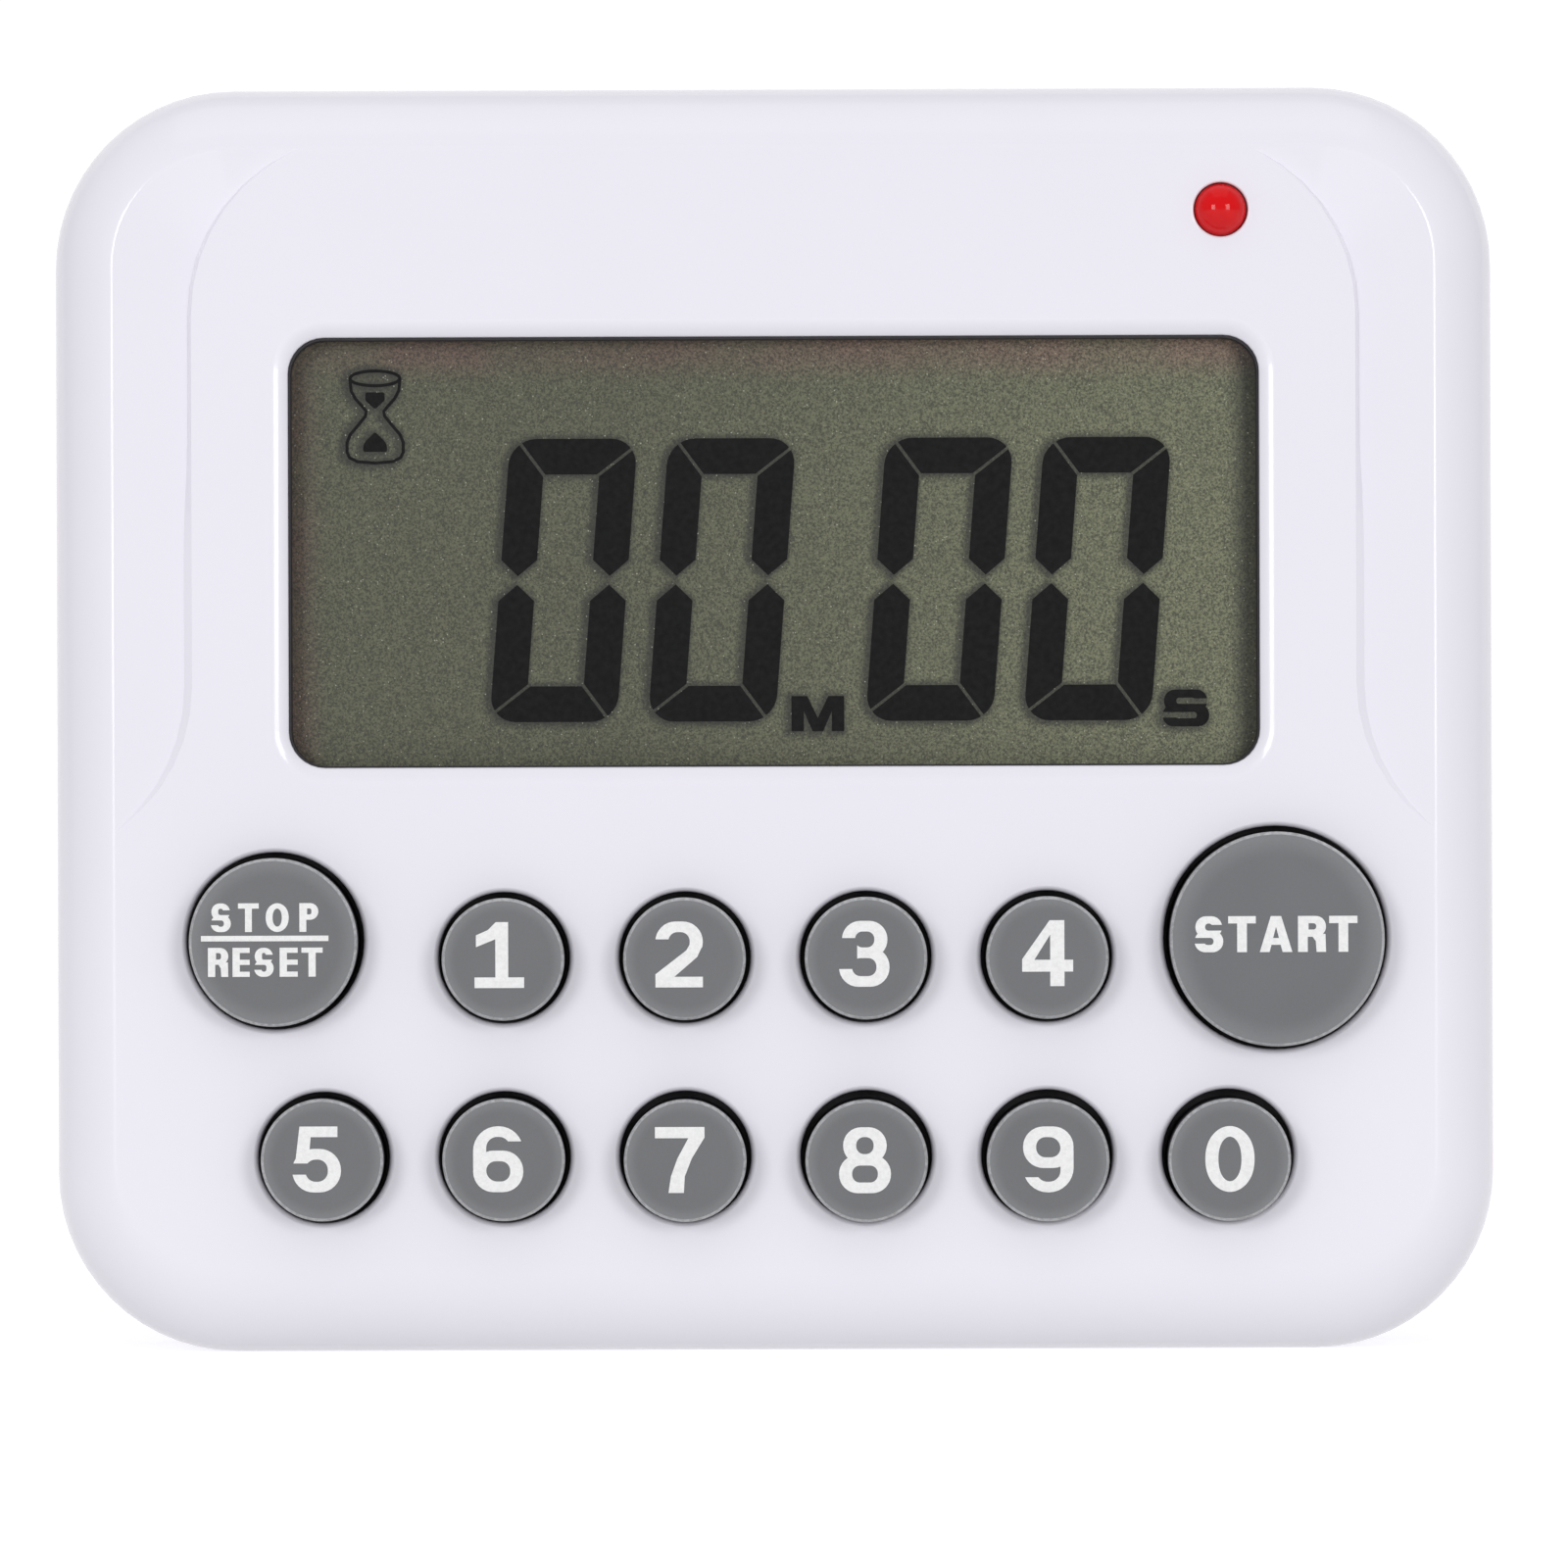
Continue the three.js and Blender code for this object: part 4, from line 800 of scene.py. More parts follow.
class TIMER_OT_rear_case(Operator):
    """Builds the rear case: battery tray, door rebate, stand recess, magnet pockets, screw wells and sound holes"""

    bl_idname = "timer.rear_case"
    bl_label = "Rear case"

    def execute(self, context):
        case = context.scene.timer_case
        lip = mm(case.lip)
        seam, chamfer, edge = SEAM_Y + SEAM_GAP / 2, 0.12, 3.0
        rows = [(case_outline(case, chamfer, chamfer), seam), (case_outline(case, 0, 0), seam + chamfer)]
        for a in arc(12):
            inset = edge * (1 - math.cos(a))
            rows.append((case_outline(case, inset, inset), BACK_Y - edge + edge * math.sin(a)))
        inner = [(case_outline(case, WALL, WALL), -1)]
        for a in arc(6):
            inset = WALL + 2 * (1 - math.cos(a))
            inner.append((case_outline(case, inset, inset), BACK_INSIDE_Y - 2 + 2 * math.sin(a)))
        shell = combined(loft(rows, 14), [loft(inner, 14)], "DIFFERENCE")

        def ring(outer, inner_offset, y0, y1):
            return combined(
                slab(case_outline(case, outer, outer), y0, y1, 14),
                [slab(case_outline(case, inner_offset, inner_offset), y0 - 1, y1 + 1, 14)],
                "DIFFERENCE",
            )

        inside = BACK_INSIDE_Y + 0.3
        added = [
            ring(WALL + 0.1, WALL + 1, SEAM_Y - 1.2, SEAM_Y + 1.2), ring(WALL - 0.2, WALL + 1, seam, SEAM_Y + 1.2)
        ]
        added += [rod(x, z, 3.4, SEAM_Y - 0.1, inside) for _, x, z in post_places()]
        added += [
            bar(-25.8, 25.8, -1.7, inside, 37.8, 62.6),
            bar(-29, 29, 8.9, inside, 35.8, 65),
            slab(rounded(-18.8, 18.8, 3.8, 33.4, 3.2, 0.4), 7.7, 11.2),
            bar(-7, 7, 8.9, inside, 62, 69),
            bar(-6, 6, 8.9, inside, 2.4, 7),
            *[rod(side * MAGNET_X, MAGNET_Z, 6.4, 8.7, 10.7) for side in (-1, 1)],
            rod(0, SOUND_Z, 11.2, 6.45, 7.9),
        ]
        body = combined(shell, added, "UNION")
        ledge = BACK_Y - 1.5
        cuts = [
            bar(-24.6, 24.6, -0.5, 13, 39, 61.4),
            pocket(rounded(-27.2, 27.2, 36.8, 63.6, 2.2), ledge, lip),
            *[bar(mid - 3, mid + 3, 8.5, ledge + 0.05, 34.8, 39.3) for mid in (-14, 14)],
            bar(-4.6, 4.6, 8.4, ledge + 0.05, 61, 63.4),
            *[round_pocket(x, z, 2.5, 7, lip) for _, x, z in post_places()],
            *[rod(x, z, 1.4, 0, 9) for _, x, z in post_places()],
            pocket(rounded(-17.6, 17.6, 5, 32.2, 3.2, 0.4), 8.9, lip),
            rod_along_x(HINGE_Y, HINGE_Z, 0.8, -19, 19),
            *[round_pocket(0, z, 3.6, 10.6, 0.4, 64) for z in (6.4, 64.2)],
            *[round_pocket(side * MAGNET_X, MAGNET_Z, 5.15, 9.9, lip, 64) for side in (-1, 1)],
            rod(0, SOUND_Z, 10.15, 5.35, 7.35, 64),
            rod(0, SOUND_Z, 9, 5.35, 7.7, 64),
        ]
        spots = [(0, SOUND_Z)] + [(4 * math.cos(a), SOUND_Z + 4 * math.sin(a)) for a in arc(6, 0, 360)[:-1]]
        cuts += [round_pocket(x, z, 0.8, 7, 0.15, 32, 8.9) for x, z in spots]
        body = combined(body, cuts, "DIFFERENCE")
        piece(body, "rear_shell", "case", [finish("case")], ["rear_case"], 28, True)
        return {"FINISHED"}


class TIMER_OT_battery_door(Operator):
    """Builds the battery door with its grip grooves, hook tabs and latch"""

    bl_idname = "timer.battery_door"
    bl_label = "Battery door"

    def execute(self, context):
        lid = softened(rounded(-27, 27, 37, 63.4, 2), 10.6, BACK_Y, 0.15, 0.28)
        grooves = []
        for z in (58.2, 59.3, 60.4):
            grooves.append(pocket(rounded(-5.5, 5.5, z - 0.28, z + 0.28, 0.27), BACK_Y - 0.3, 0.1, 5))
        arrow = loft([([(0, 53.6, 0.3), (2.1, 56.4, 0.3), (-2.1, 56.4, 0.3)], BACK_Y - 0.25),
                      ([(0, 53.4, 0.3), (2.3, 56.55, 0.3), (-2.3, 56.55, 0.3)], BACK_Y + 0.5)], 4)
        thumb = round_pocket(0, 64.2, 3.6, 11.2, 0.3, 64)
        added = []
        for side in (-1, 1):
            x0, x1 = side * 14 - 2.6, side * 14 + 2.6
            added += [bar(x0, x1, 9.2, 10.8, 37.2, 38.6), bar(x0, x1, 9.2, 10.1, 35.2, 37.4)]
        added.append(bar(-4, 4, 8.9, 10.8, 61.7, 62.6))
        body = combined(combined(lid, added, "UNION"), [*grooves, arrow, thumb], "DIFFERENCE")
        piece(body, "door_shell", "door", [finish("case")], ["battery_door"], 28, True)
        return {"FINISHED"}


class TIMER_OT_stand(Operator):
    """Builds the fold-out stand and its hinge knuckle"""

    bl_idname = "timer.stand"
    bl_label = "Stand"

    def execute(self, context):
        leaf = softened(rounded(-17.2, 17.2, 5.3, 30.6, 3, 0.3), 9.9, 11.9, 0.3, 0.4)
        knuckle = rod_along_x(HINGE_Y, HINGE_Z, 1.4, -17.2, 17.2, 48)
        # Open fault: the made leaf keeps a film across this window, in the plane of its inner face at y = 9.9.
        hole = rounded(-9.5, 9.5, 10.5, 26, 2.5)
        lip = 0.35
        rows = [(grown(hole, lip), 8), (grown(hole, lip), 9.9)]
        rows += [(grown(hole, lip * (1 - math.sin(a))), 9.9 + lip * (1 - math.cos(a))) for a in arc(4)]
        rows += [(grown(hole, lip * (1 - math.cos(a))), 11.9 - lip * (1 - math.sin(a))) for a in arc(4)]
        rows.append((grown(hole, lip), 14))
        bore = rod_along_x(HINGE_Y, HINGE_Z, 0.85, -19, 19)
        body = combined(combined(leaf, [knuckle], "UNION"), [loft(rows), bore], "DIFFERENCE")
        piece(body, "stand_leaf", "easel", [finish("case")], ["stand"], 28, True)
        return {"FINISHED"}


# ---------------------------------------------------------------- keys


def thickened(bm, thickness):
    """A flat drawing made solid towards -Y."""
    made = bmesh.ops.extrude_face_region(bm, geom=bm.faces[:])
    front = [item for item in made["geom"] if isinstance(item, bmesh.types.BMVert)]
    bmesh.ops.translate(bm, vec=(0, -thickness, 0), verts=front)
    bmesh.ops.recalc_face_normals(bm, faces=bm.faces)
    return bm


def plate(x0, x1, z0, z1):
    """A rectangle of a letter, 1 mm thick in front of y = 0."""
    return bar(x0, x1, -1, 0, z0, z1)


def shape(*points):
    """A straight-sided shape of a letter, 1 mm thick."""
    return slab([(x, z, 0) for x, z in points], -1, 0)


def bowl(x0, x1, z0, z1, stem, beam, cuts=(), square_left=False):
    """A round part of a letter: stem is its stroke at the sides, beam at its top and bottom."""
    radius = 0.49 * min(x1 - x0, z1 - z0)
    hollow = 0.46 * min(x1 - x0 - 2 * stem, z1 - z0 - 2 * beam)
    left, left_hollow = (0, 0) if square_left else (radius, hollow)
    outer = [(x0, z0, left), (x1, z0, radius), (x1, z1, radius), (x0, z1, left)]
    x0, x1, z0, z1 = x0 + stem, x1 - stem, z0 + beam, z1 - beam
    inner = [(x0, z0, left_hollow), (x1, z0, hollow), (x1, z1, hollow), (x0, z1, left_hollow)]
    cutters = [bar(a, b, -2, 1, c, d) for a, b, c, d in cuts]
    return combined(slab(outer, -1, 0), [slab(inner, -2, 1), *cutters], "DIFFERENCE")


def oval(w, h, stem, beam):
    """A round letter that fills its box, with a hollow of the same kind."""
    made = []
    for half, tall, y0, y1 in ((w / 2, h / 2, -1, 0), (w / 2 - stem, h / 2 - beam, -2, 1)):
        bm = rod(0, 0, 1, y0, y1, 64)
        # Between an ellipse and a rounded box: the sides are pushed out a little.
        for vert in bm.verts:
            vert.co.x *= 1 + 0.1 * vert.co.z**2 * (1 - vert.co.z**2)
        bmesh.ops.scale(bm, vec=(half, 1, tall), verts=bm.verts)
        bmesh.ops.translate(bm, vec=(w / 2, 0, h / 2), verts=bm.verts)
        made.append(bm)
    return combined(made[0], [made[1]], "DIFFERENCE")


def character(mark, w, h, s, b):
    """The parts of a sans-serif digit or capital, w wide and h high, with strokes s across and b deep."""
    mid, far = h / 2, 9
    if mark in "0O":
        return [oval(w, h, s, b)]
    if mark == "1":
        flag = shape((0.42 * w, 0), (0.68 * w, 0), (0.68 * w, h), (0.43 * w, h), (0.27 * w, 0.88 * h),
                     (0.03 * w, 0.8 * h), (0.03 * w, 0.62 * h), (0.42 * w, 0.74 * h))
        return [flag, plate(0, w, 0, b)]
    if mark == "2":
        top = bowl(0, w, h - 0.86 * w, h, s, b, [(-1, w / 2, -1, 0.73 * h), (-1, far, -1, 0.6 * h)])
        tail = shape((0, 0), (w, 0), (w, b), (0.4 * w, b), (0.88 * w, 0.46 * h), (0.985 * w, 0.62 * h),
                     (0.73 * w, 0.66 * h), (0.65 * w, 0.56 * h), (0, 0.2 * h))
        return [top, tail]
    if mark == "3":
        return [
            bowl(0.06 * w, 0.96 * w, mid - 0.4 * b, h, s, b, [(-1, 0.36 * w, -1, 0.74 * h)]),
            bowl(0, w, 0, mid + 0.6 * b, s, b, [(-1, 0.36 * w, 0.27 * h, far)]),
        ]
    if mark == "4":
        left, right, low, high = 0.55 * w, 0.83 * w, 0.22 * h, 0.4 * h
        solid = shape((left, 0), (right, 0), (right, low), (w, low), (w, high), (right, high), (right, h),
                      (0.54 * w, h), (0, 0.41 * h), (0, low), (left, low))
        corner = [(0.24 * w, high, 0), (left, high, 0), (left, 0.78 * h, 0)]
        return [combined(solid, [slab(corner, -2, 1)],
                         "DIFFERENCE")]
    if mark == "5":
        return [
            bowl(0, w, 0, 0.66 * h, s, b, [(-1, 0.4 * w, 0.27 * h, 0.44 * h)]),
            shape((0.06 * w, 0.44 * h), (0.34 * w, 0.52 * h), (0.4 * w, h), (0.15 * w, h)),
            plate(0.16 * w, 0.93 * w, h - b, h),
        ]
    if mark in "69":
        parts = [bowl(0, w, 0, 0.63 * h, s, b), bowl(0, w, 0, h, s, b, [(w / 2, far, -1, 0.77 * h)])]
        if mark == "9":
            for part in parts:
                middle = (w / 2, -0.5, h / 2)
                bmesh.ops.rotate(part, cent=middle, matrix=Matrix.Rotation(math.pi, 3, "Y"), verts=part.verts)
        return parts
    if mark == "7":
        leg = shape((0.27 * w, 0), (0.58 * w, 0), (0.6 * w, 0.25 * h), (0.74 * w, 0.52 * h), (w, 0.84 * h), (w, h),
                    (0.68 * w, h), (0.68 * w, 0.84 * h), (0.45 * w, 0.52 * h), (0.32 * w, 0.25 * h))
        return [plate(0, w, h - 1.05 * b, h), leg]
    if mark == "8":
        return [bowl(0.08 * w, 0.92 * w, mid - 0.35 * b, h, s, 0.92 * b), bowl(0, w, 0, mid + 0.5 * b, s, b)]
    if mark == "A":
        solid = shape((0, 0), (0.3 * w, 0), (0.36 * w, 0.2 * h), (0.64 * w, 0.2 * h), (0.7 * w, 0), (w, 0),
                      (0.66 * w, h), (0.34 * w, h))
        counter = [(0.41 * w, 0.39 * h, 0), (0.59 * w, 0.39 * h, 0), (0.5 * w, 0.7 * h, 0)]
        return [combined(solid, [slab(counter, -2, 1)],
                         "DIFFERENCE")]
    if mark == "E":
        return [plate(0, s, 0, h), *[plate(0.1, w, z, z + b) for z in (0, mid - b / 2, h - b)]]
    if mark == "M":
        return [shape((0, 0), (0.233 * w, 0), (0.233 * w, 0.575 * h), (0.4 * w, 0), (0.6 * w, 0),
                      (0.767 * w, 0.575 * h),
                      (0.767 * w, 0), (w, 0), (w, h), (0.7 * w, h), (0.5 * w, 0.375 * h), (0.3 * w, h), (0, h))]
    if mark in "PR":
        parts = [plate(0, s, 0, h), bowl(0.05, w, 0.42 * h, h, s, b, square_left=True)]
        if mark == "R":
            leg = ((w - 0.97 * s, 0), (w, 0), (w - 0.05 * s, 0.5 * h), (0.45 * w, 0.5 * h), (w - 1.05 * s, 0.3 * h))
            parts.append(shape(*leg))
        return parts
    if mark == "S":
        return [
            bowl(0.03 * w, 0.96 * w, mid - b / 2, h, s, b, [(w / 2, far, mid + b / 2, 0.76 * h)]),
            bowl(0, w, 0, mid + b / 2, s, b, [(-1, w / 2, 0.24 * h, mid - b / 2)]),
        ]
    if mark == "T":
        return [plate(0, w, h - b, h), plate((w - s) / 2, (w + s) / 2, 0, h)]
    raise ValueError("no such mark: " + mark)


def word(marks, x, z, y, thickness):
    """Printed marks from a corner at (x, z), with their backs at depth y; each mark is (character, offset along X,
    width, height, stroke across, stroke deep)."""
    drawn = []
    for mark, along, w, h, s, b in marks:
        first, *rest = character(mark, w, h, s, b)
        bm = combined(first, rest, "UNION") if rest else first
        bmesh.ops.translate(bm, vec=(x + along, 0, z), verts=bm.verts)
        drawn.append(bm)
    whole = merged(drawn)
    bmesh.ops.scale(whole, vec=(1, thickness, 1), verts=whole.verts)
    bmesh.ops.translate(whole, vec=(0, y, 0), verts=whole.verts)
    return whole


# How wide each digit is printed, and how far its middle stands from the middle of its key.
DIGIT_PRINT = {
    "1": (2.8, -0.2), "2": (2.68, -0.3), "3": (2.85, -0.1), "4": (2.88, 0.0), "5": (2.75, -0.3),
    "6": (2.83, -0.3), "7": (2.8, -0.3), "8": (2.93, -0.1), "9": (2.85, 0.0), "0": (2.78, 0.0),
}
# Marks of the three words: character, offset, width.
START_WORD = (("S", 0, 1.62), ("T", 1.9, 1.56), ("A", 3.68, 1.84), ("R", 5.84, 1.58), ("T", 7.6, 1.6))
STOP_WORD = (("S", 0, 1.13), ("T", 1.54, 1.17), ("O", 3.1, 1.3), ("P", 5.0, 1.07))
RESET_WORD = (("R", 0, 1.15), ("E", 1.39, 0.97), ("S", 2.61, 1.1), ("E", 4.05, 1.02), ("T", 5.28, 1.2))


def legend(settings, name, x, z, y, ink):
    """The printed legend of a key, as one flat shape that reaches from y to the surface of the ink."""
    if name == "start":
        return word([(*mark, 2.03, 0.55, 0.41) for mark in START_WORD], x - 4.68, z - 0.78, y, ink)
    if name == "stop_reset":
        left = x - 3.5
        return merged([
            word([(*mark, 1.62, 0.39, 0.3) for mark in STOP_WORD], left, z + 0.55, y, ink),
            bar(left - 0.56, left + 6.64, y - ink, y, z + 0.025, z + 0.335),
            word([(*mark, 1.64, 0.41, 0.29) for mark in RESET_WORD], left - 0.17, z - 1.98, y, ink),
        ])
    width, shift = DIGIT_PRINT[name]
    high = mm(settings.digit_height)
    low = z - high / 2 + (0.2 if name in "1234" else 0)
    return word([(name, 0, width, high, 0.74, 0.6)], x + shift - width / 2, low, y, ink)


# How far some caps have sunk in their holes.
KEY_SAG = {"6": 0.07, "7": 0.15, "8": 0.2, "9": 0.19, "0": 0.2}


class TIMER_OT_keys(Operator):
    """Builds the key caps, their printed legends and the rubber bosses under them"""

    bl_idname = "timer.keys"
    bl_label = "Keys"

    def execute(self, context):
        settings = context.scene.timer_keys
        bevel, crown, ink = mm(settings.bevel), mm(settings.crown), mm(settings.ink_thickness)
        top, back = -12 + ink, -10.8
        for name, x, level, radius in key_places():
            z = level - KEY_SAG.get(name, 0.05)
            shoulder = radius - bevel
            dome = [(shoulder * i / 10, top + crown * (i / 10) ** 2) for i in range(11)]
            edge = top + crown
            cap = turned([
                *dome, (radius - 0.03, edge + bevel * 0.7), (radius, edge + bevel), (radius, back), (0, back),
            ], x, z, 96)
            axis = Vector((x, 0, z))
            rubbed = cap.verts.layers.float.new("rubbed")
            for vert in cap.verts:
                reach = (Vector((vert.co.x, 0, vert.co.z)) - axis).length / radius
                vert[rubbed] = reach
            paint(cap, 1, lambda mid, normal: (Vector((mid.x, 0, mid.z)) - axis).length > shoulder)
            paint(cap, 2, lambda mid, normal: mid.y > edge + bevel)
            coat = finish("start_cap" if name == "start" else "cap")
            piece(cap, "key_top_" + name, "key_" + name, [coat, finish("rim"), finish("rubber")],
                  ["key_cap_" + name], 20)
            flange, stem = {"stop_reset": (5.7, 3), "start": (6.8, 4)}.get(name, (4.4, 2))
            rubber = turned([
                (0, back), (radius - 0.06, back), (radius - 0.06, -7.98), (radius + 0.02, -7.9), (flange - 0.1, -7.9),
                (flange, -7.8), (flange, -7), (flange - 0.1, -6.9), (stem + 0.1, -6.9), (stem, -6.8), (stem, -5.1),
                (stem - 0.1, -5), (0, -5),
            ], x, z, 72)
            piece(rubber, "key_rubber_" + name, "key_" + name, [finish("rubber")],
                  ["key_boss_" + name])
            drawn = legend(settings, name, x, z + 0.05, top + crown, crown + ink)
            piece(drawn, "key_legend_" + name, "key_" + name, [finish("ink")])
        return {"FINISHED"}


# ---------------------------------------------------------------- display


def clipped(bm, cuts):
    """Keeps what lies behind every cut; each is (x, z, normal x, normal z)."""
    for x, z, nx, nz in cuts:
        bmesh.ops.bisect_plane(
            bm, geom=bm.verts[:] + bm.edges[:] + bm.faces[:], plane_co=(x, 0, z), plane_no=(nx, 0, nz),
            clear_outer=True,
        )
    return bm


def zero_digit(settings):
    """The six lit segments of a zero, upright about the origin."""
    half, high = mm(settings.digit_width) / 2, mm(settings.digit_height) / 2
    stroke, gap = mm(settings.stroke), mm(settings.gap) / 2
    inner_x, inner_z = half - stroke, high - stroke
    # The mitres run steeper at the top left and bottom right than at the other two corners.
    steep, shallow = math.radians(50.8), math.radians(39.5)
    parts = []
    for turn in (1, -1):
        s, c = math.sin(steep), math.cos(steep)
        left_mitre = (-inner_x * turn, inner_z * turn, -s * turn, -c * turn)
        s2, c2 = math.sin(shallow), math.cos(shallow)
        right_mitre = (inner_x * turn, inner_z * turn, s2 * turn, -c2 * turn)

        def near(cut, sign):
            x, z, nx, nz = cut
            return x - sign * gap * nx, z - sign * gap * nz, sign * nx, sign * nz

        bar_cuts = [(0, inner_z * turn, 0, -turn), near(left_mitre, 1), near(right_mitre, 1)]
        left_cuts = [
            (-inner_x * turn, 0, turn, 0), near_flip(left_mitre, gap), (0, 0.25 * turn, 0, -turn),
            *tips(-(half - stroke / 2) * turn, 0.25 * turn, turn),
        ]
        right_cuts = [
            (inner_x * turn, 0, -turn, 0), near_flip(right_mitre, gap), (0, 0.25 * turn, 0, -turn),
            *tips((half - stroke / 2) * turn, 0.25 * turn, turn),
        ]
        for cuts in (bar_cuts, left_cuts, right_cuts):
            blank = bmesh.new()
            outline(blank, rounded(-half, half, -high, high, mm(settings.corner)), 0, 8)
            parts.append(clipped(blank, cuts))
    return merged(parts)


def near_flip(cut, gap):
    """The same mitre seen from its other side, moved back by the gap."""
    x, z, nx, nz = cut
    return x + gap * nx, z + gap * nz, -nx, -nz


def tips(x, z, turn):
    """The two cuts that point the end of an upright segment."""
    lean = math.radians(42)
    return [(x, z, side * math.sin(lean), -turn * math.cos(lean)) for side in (-1, 1)]


def tube(points, radius, resolution, loop=False):
    """A round wire through the points: closed at both ends, or joined in a loop."""
    curve = bpy.data.curves.new("wire", "CURVE")
    curve.dimensions = "3D"
    curve.bevel_depth = radius
    curve.bevel_resolution = resolution
    curve.use_fill_caps = True
    spline = curve.splines.new("POLY")
    spline.points.add(len(points) - 1)
    for point, at in zip(spline.points, points):
        point.co = (*at, 1)
    spline.use_cyclic_u = loop
    holder = bpy.data.objects.new("wire", curve)
    bpy.context.scene.collection.objects.link(holder)
    bm = evaluated(holder)
    bpy.data.objects.remove(holder)
    bpy.data.curves.remove(curve)
    return bm


def stroke_line(points, width, loop=False):
    """A flat line of even width through the points (x, z)."""
    bm = tube([(x, 0, z) for x, z in points], width / 2, 2, loop)
    bmesh.ops.scale(bm, vec=(1, 0.1, 1), verts=bm.verts)
    return closed(bm)


def sand_glass(x, z):
    """The sand-glass sign: an oval rim, a pinched glass and two heaps of sand."""
    rim = [(x + 1.42 * math.cos(a), z + 1.9 + 0.42 * math.sin(a)) for a in arc(28, 0, 360)[:-1]]
    right = [(1.42, 1.85), (1.36, 1.2), (1.12, 0.75), (0.72, 0.3), (0.5, 0.02), (0.55, -0.25), (0.95, -0.75),
             (1.42, -1.3), (1.6, -1.75), (1.6, -2.3), (1.45, -2.62), (1.0, -2.84), (0.0, -2.92)]
    glass = [(x + u, z + v) for u, v in right] + [(x - u, z + v) for u, v in reversed(right[:-1])]
    heaps = bmesh.new()
    falling = [(-0.54, 1.1, 0.1), (-0.56, 0.65, 0.1), (0, 0.14, 0.12), (0.56, 0.65, 0.1), (0.54, 1.1, 0.1)]
    fallen = [(-0.68, -2.28, 0.1), (0.68, -2.28, 0.1), (0.68, -1.8, 0.25), (0, -1.15, 0.1), (-0.68, -1.8, 0.25)]
    for heap in (falling, fallen):
        outline(heaps, [(x + u, z + v, radius) for u, v, radius in heap], 0, 3)
    heaps = thickened(heaps, SEGMENT_THICK)
    return merged([stroke_line(rim, 0.18, True), stroke_line(glass, 0.18), heaps])


class TIMER_OT_display(Operator):
    """Builds the display: film, lit segments, signs, their soft shadow and the gasket round them"""

    bl_idname = "timer.display"
    bl_label = "Display"

    def execute(self, context):
        settings = context.scene.timer_display
        low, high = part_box("lcd_front_polariser")
        film_y, middle_z = mm(low.y), 43.93
        lean = Matrix.Shear("XY", 3, (0, 0))
        lean[0][2] = math.tan(settings.slant)
        digits = []
        for x in (-11.98, -2.96, 9.42, 18.42):
            digit = zero_digit(settings)
            bmesh.ops.transform(digit, matrix=lean.to_4x4(), verts=digit.verts)
            bmesh.ops.translate(digit, vec=(x, 0, middle_z), verts=digit.verts)
            digits.append(thickened(digit, SEGMENT_THICK))
        signs = [
            word([("M", 0, 3, 2, 0.7, 0.7)], 0.97, 35.3, 0, SEGMENT_THICK),
            word([("S", 0, 2.65, 2.1, 0.7, 0.46)], 22.1, 35.5, 0, SEGMENT_THICK),
            sand_glass(-22.68, 53.57),
        ]
        lit = merged(digits + signs)
        finder = BVHTree.FromBMesh(lit)
        film = bmesh.new()
        wide, tall, pitch = mm(high.x - low.x), mm(high.z - low.z), 0.16
        bmesh.ops.create_grid(film, x_segments=int(wide / pitch), y_segments=int(tall / pitch), size=0.5)
        bmesh.ops.scale(film, vec=(wide, tall, 1), verts=film.verts)
        bmesh.ops.rotate(film, cent=(0, 0, 0), matrix=Matrix.Rotation(math.radians(90), 3, "X"), verts=film.verts)
        bmesh.ops.translate(film, vec=(mm(low.x + high.x) / 2, 0, mm(low.z + high.z) / 2), verts=film.verts)
        shadow = film.verts.layers.float.new("segment_shadow")
        reach = mm(settings.shadow_reach)
        for vert in film.verts:
            near = finder.find_nearest(vert.co + Vector((0.16, 0, 0.04)), reach)
            share = max(0.0, 1 - near[3] / reach) if near[0] else 0.0
            vert[shadow] = share * share * (3 - 2 * share)
        rim = [edge for edge in film.edges if edge.is_boundary]
        made = bmesh.ops.extrude_edge_only(film, edges=rim)["geom"]
        back = [item for item in made if isinstance(item, bmesh.types.BMVert)]
        bmesh.ops.translate(film, vec=(0, 0.25, 0), verts=back)
        bmesh.ops.contextual_create(film, geom=[item for item in made if isinstance(item, bmesh.types.BMEdge)])
        bmesh.ops.recalc_face_normals(film, faces=film.faces)
        bmesh.ops.translate(film, vec=(0, film_y, 0), verts=film.verts)
        bmesh.ops.translate(lit, vec=(0, film_y, 0), verts=lit.verts)
        piece(film, "display_film", "case", [finish("film")], ["lcd_front_polariser"])
        piece(lit, "display_segments", "case", [finish("segment")])
        hole = rounded(-27.52, 27.52, 33.33, 57.67, 2.0)
        frame_ring = combined(
            slab(hole, FACE_Y + 0.56, film_y - 0.01),
            [slab(rounded(-27.42, 27.44, 33.4, 57.56, 1.95), FACE_Y - 1, -7)], "DIFFERENCE"
        )
        piece(frame_ring, "display_gasket", "case", [finish("rubber")])
        return {"FINISHED"}


class TIMER_OT_lamp(Operator):
    """Builds the alarm lamp's lens"""

    bl_idname = "timer.lamp"
    bl_label = "Alarm lamp"

    def execute(self, context):
        low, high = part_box("lamp_lens")
        x, z = middle_of("lamp_lens")
        tip, radius, base = mm(low.y), 1.5, mm(high.y)
        dome = [(radius * math.sin(a), tip + radius * (1 - math.cos(a))) for a in arc(16)]
        lens = turned([
            *dome, (radius, base - 1.08), (radius + 0.08, base - 1), (1.82, base - 1), (1.9, base - 0.92),
            (1.9, base - 0.08), (1.82, base), (0, base),
        ], x, z, 72)
        piece(lens, "lamp_dome", "case", [finish("lamp")], ["lamp_lens"])
        return {"FINISHED"}


# ---------------------------------------------------------------- back and inside


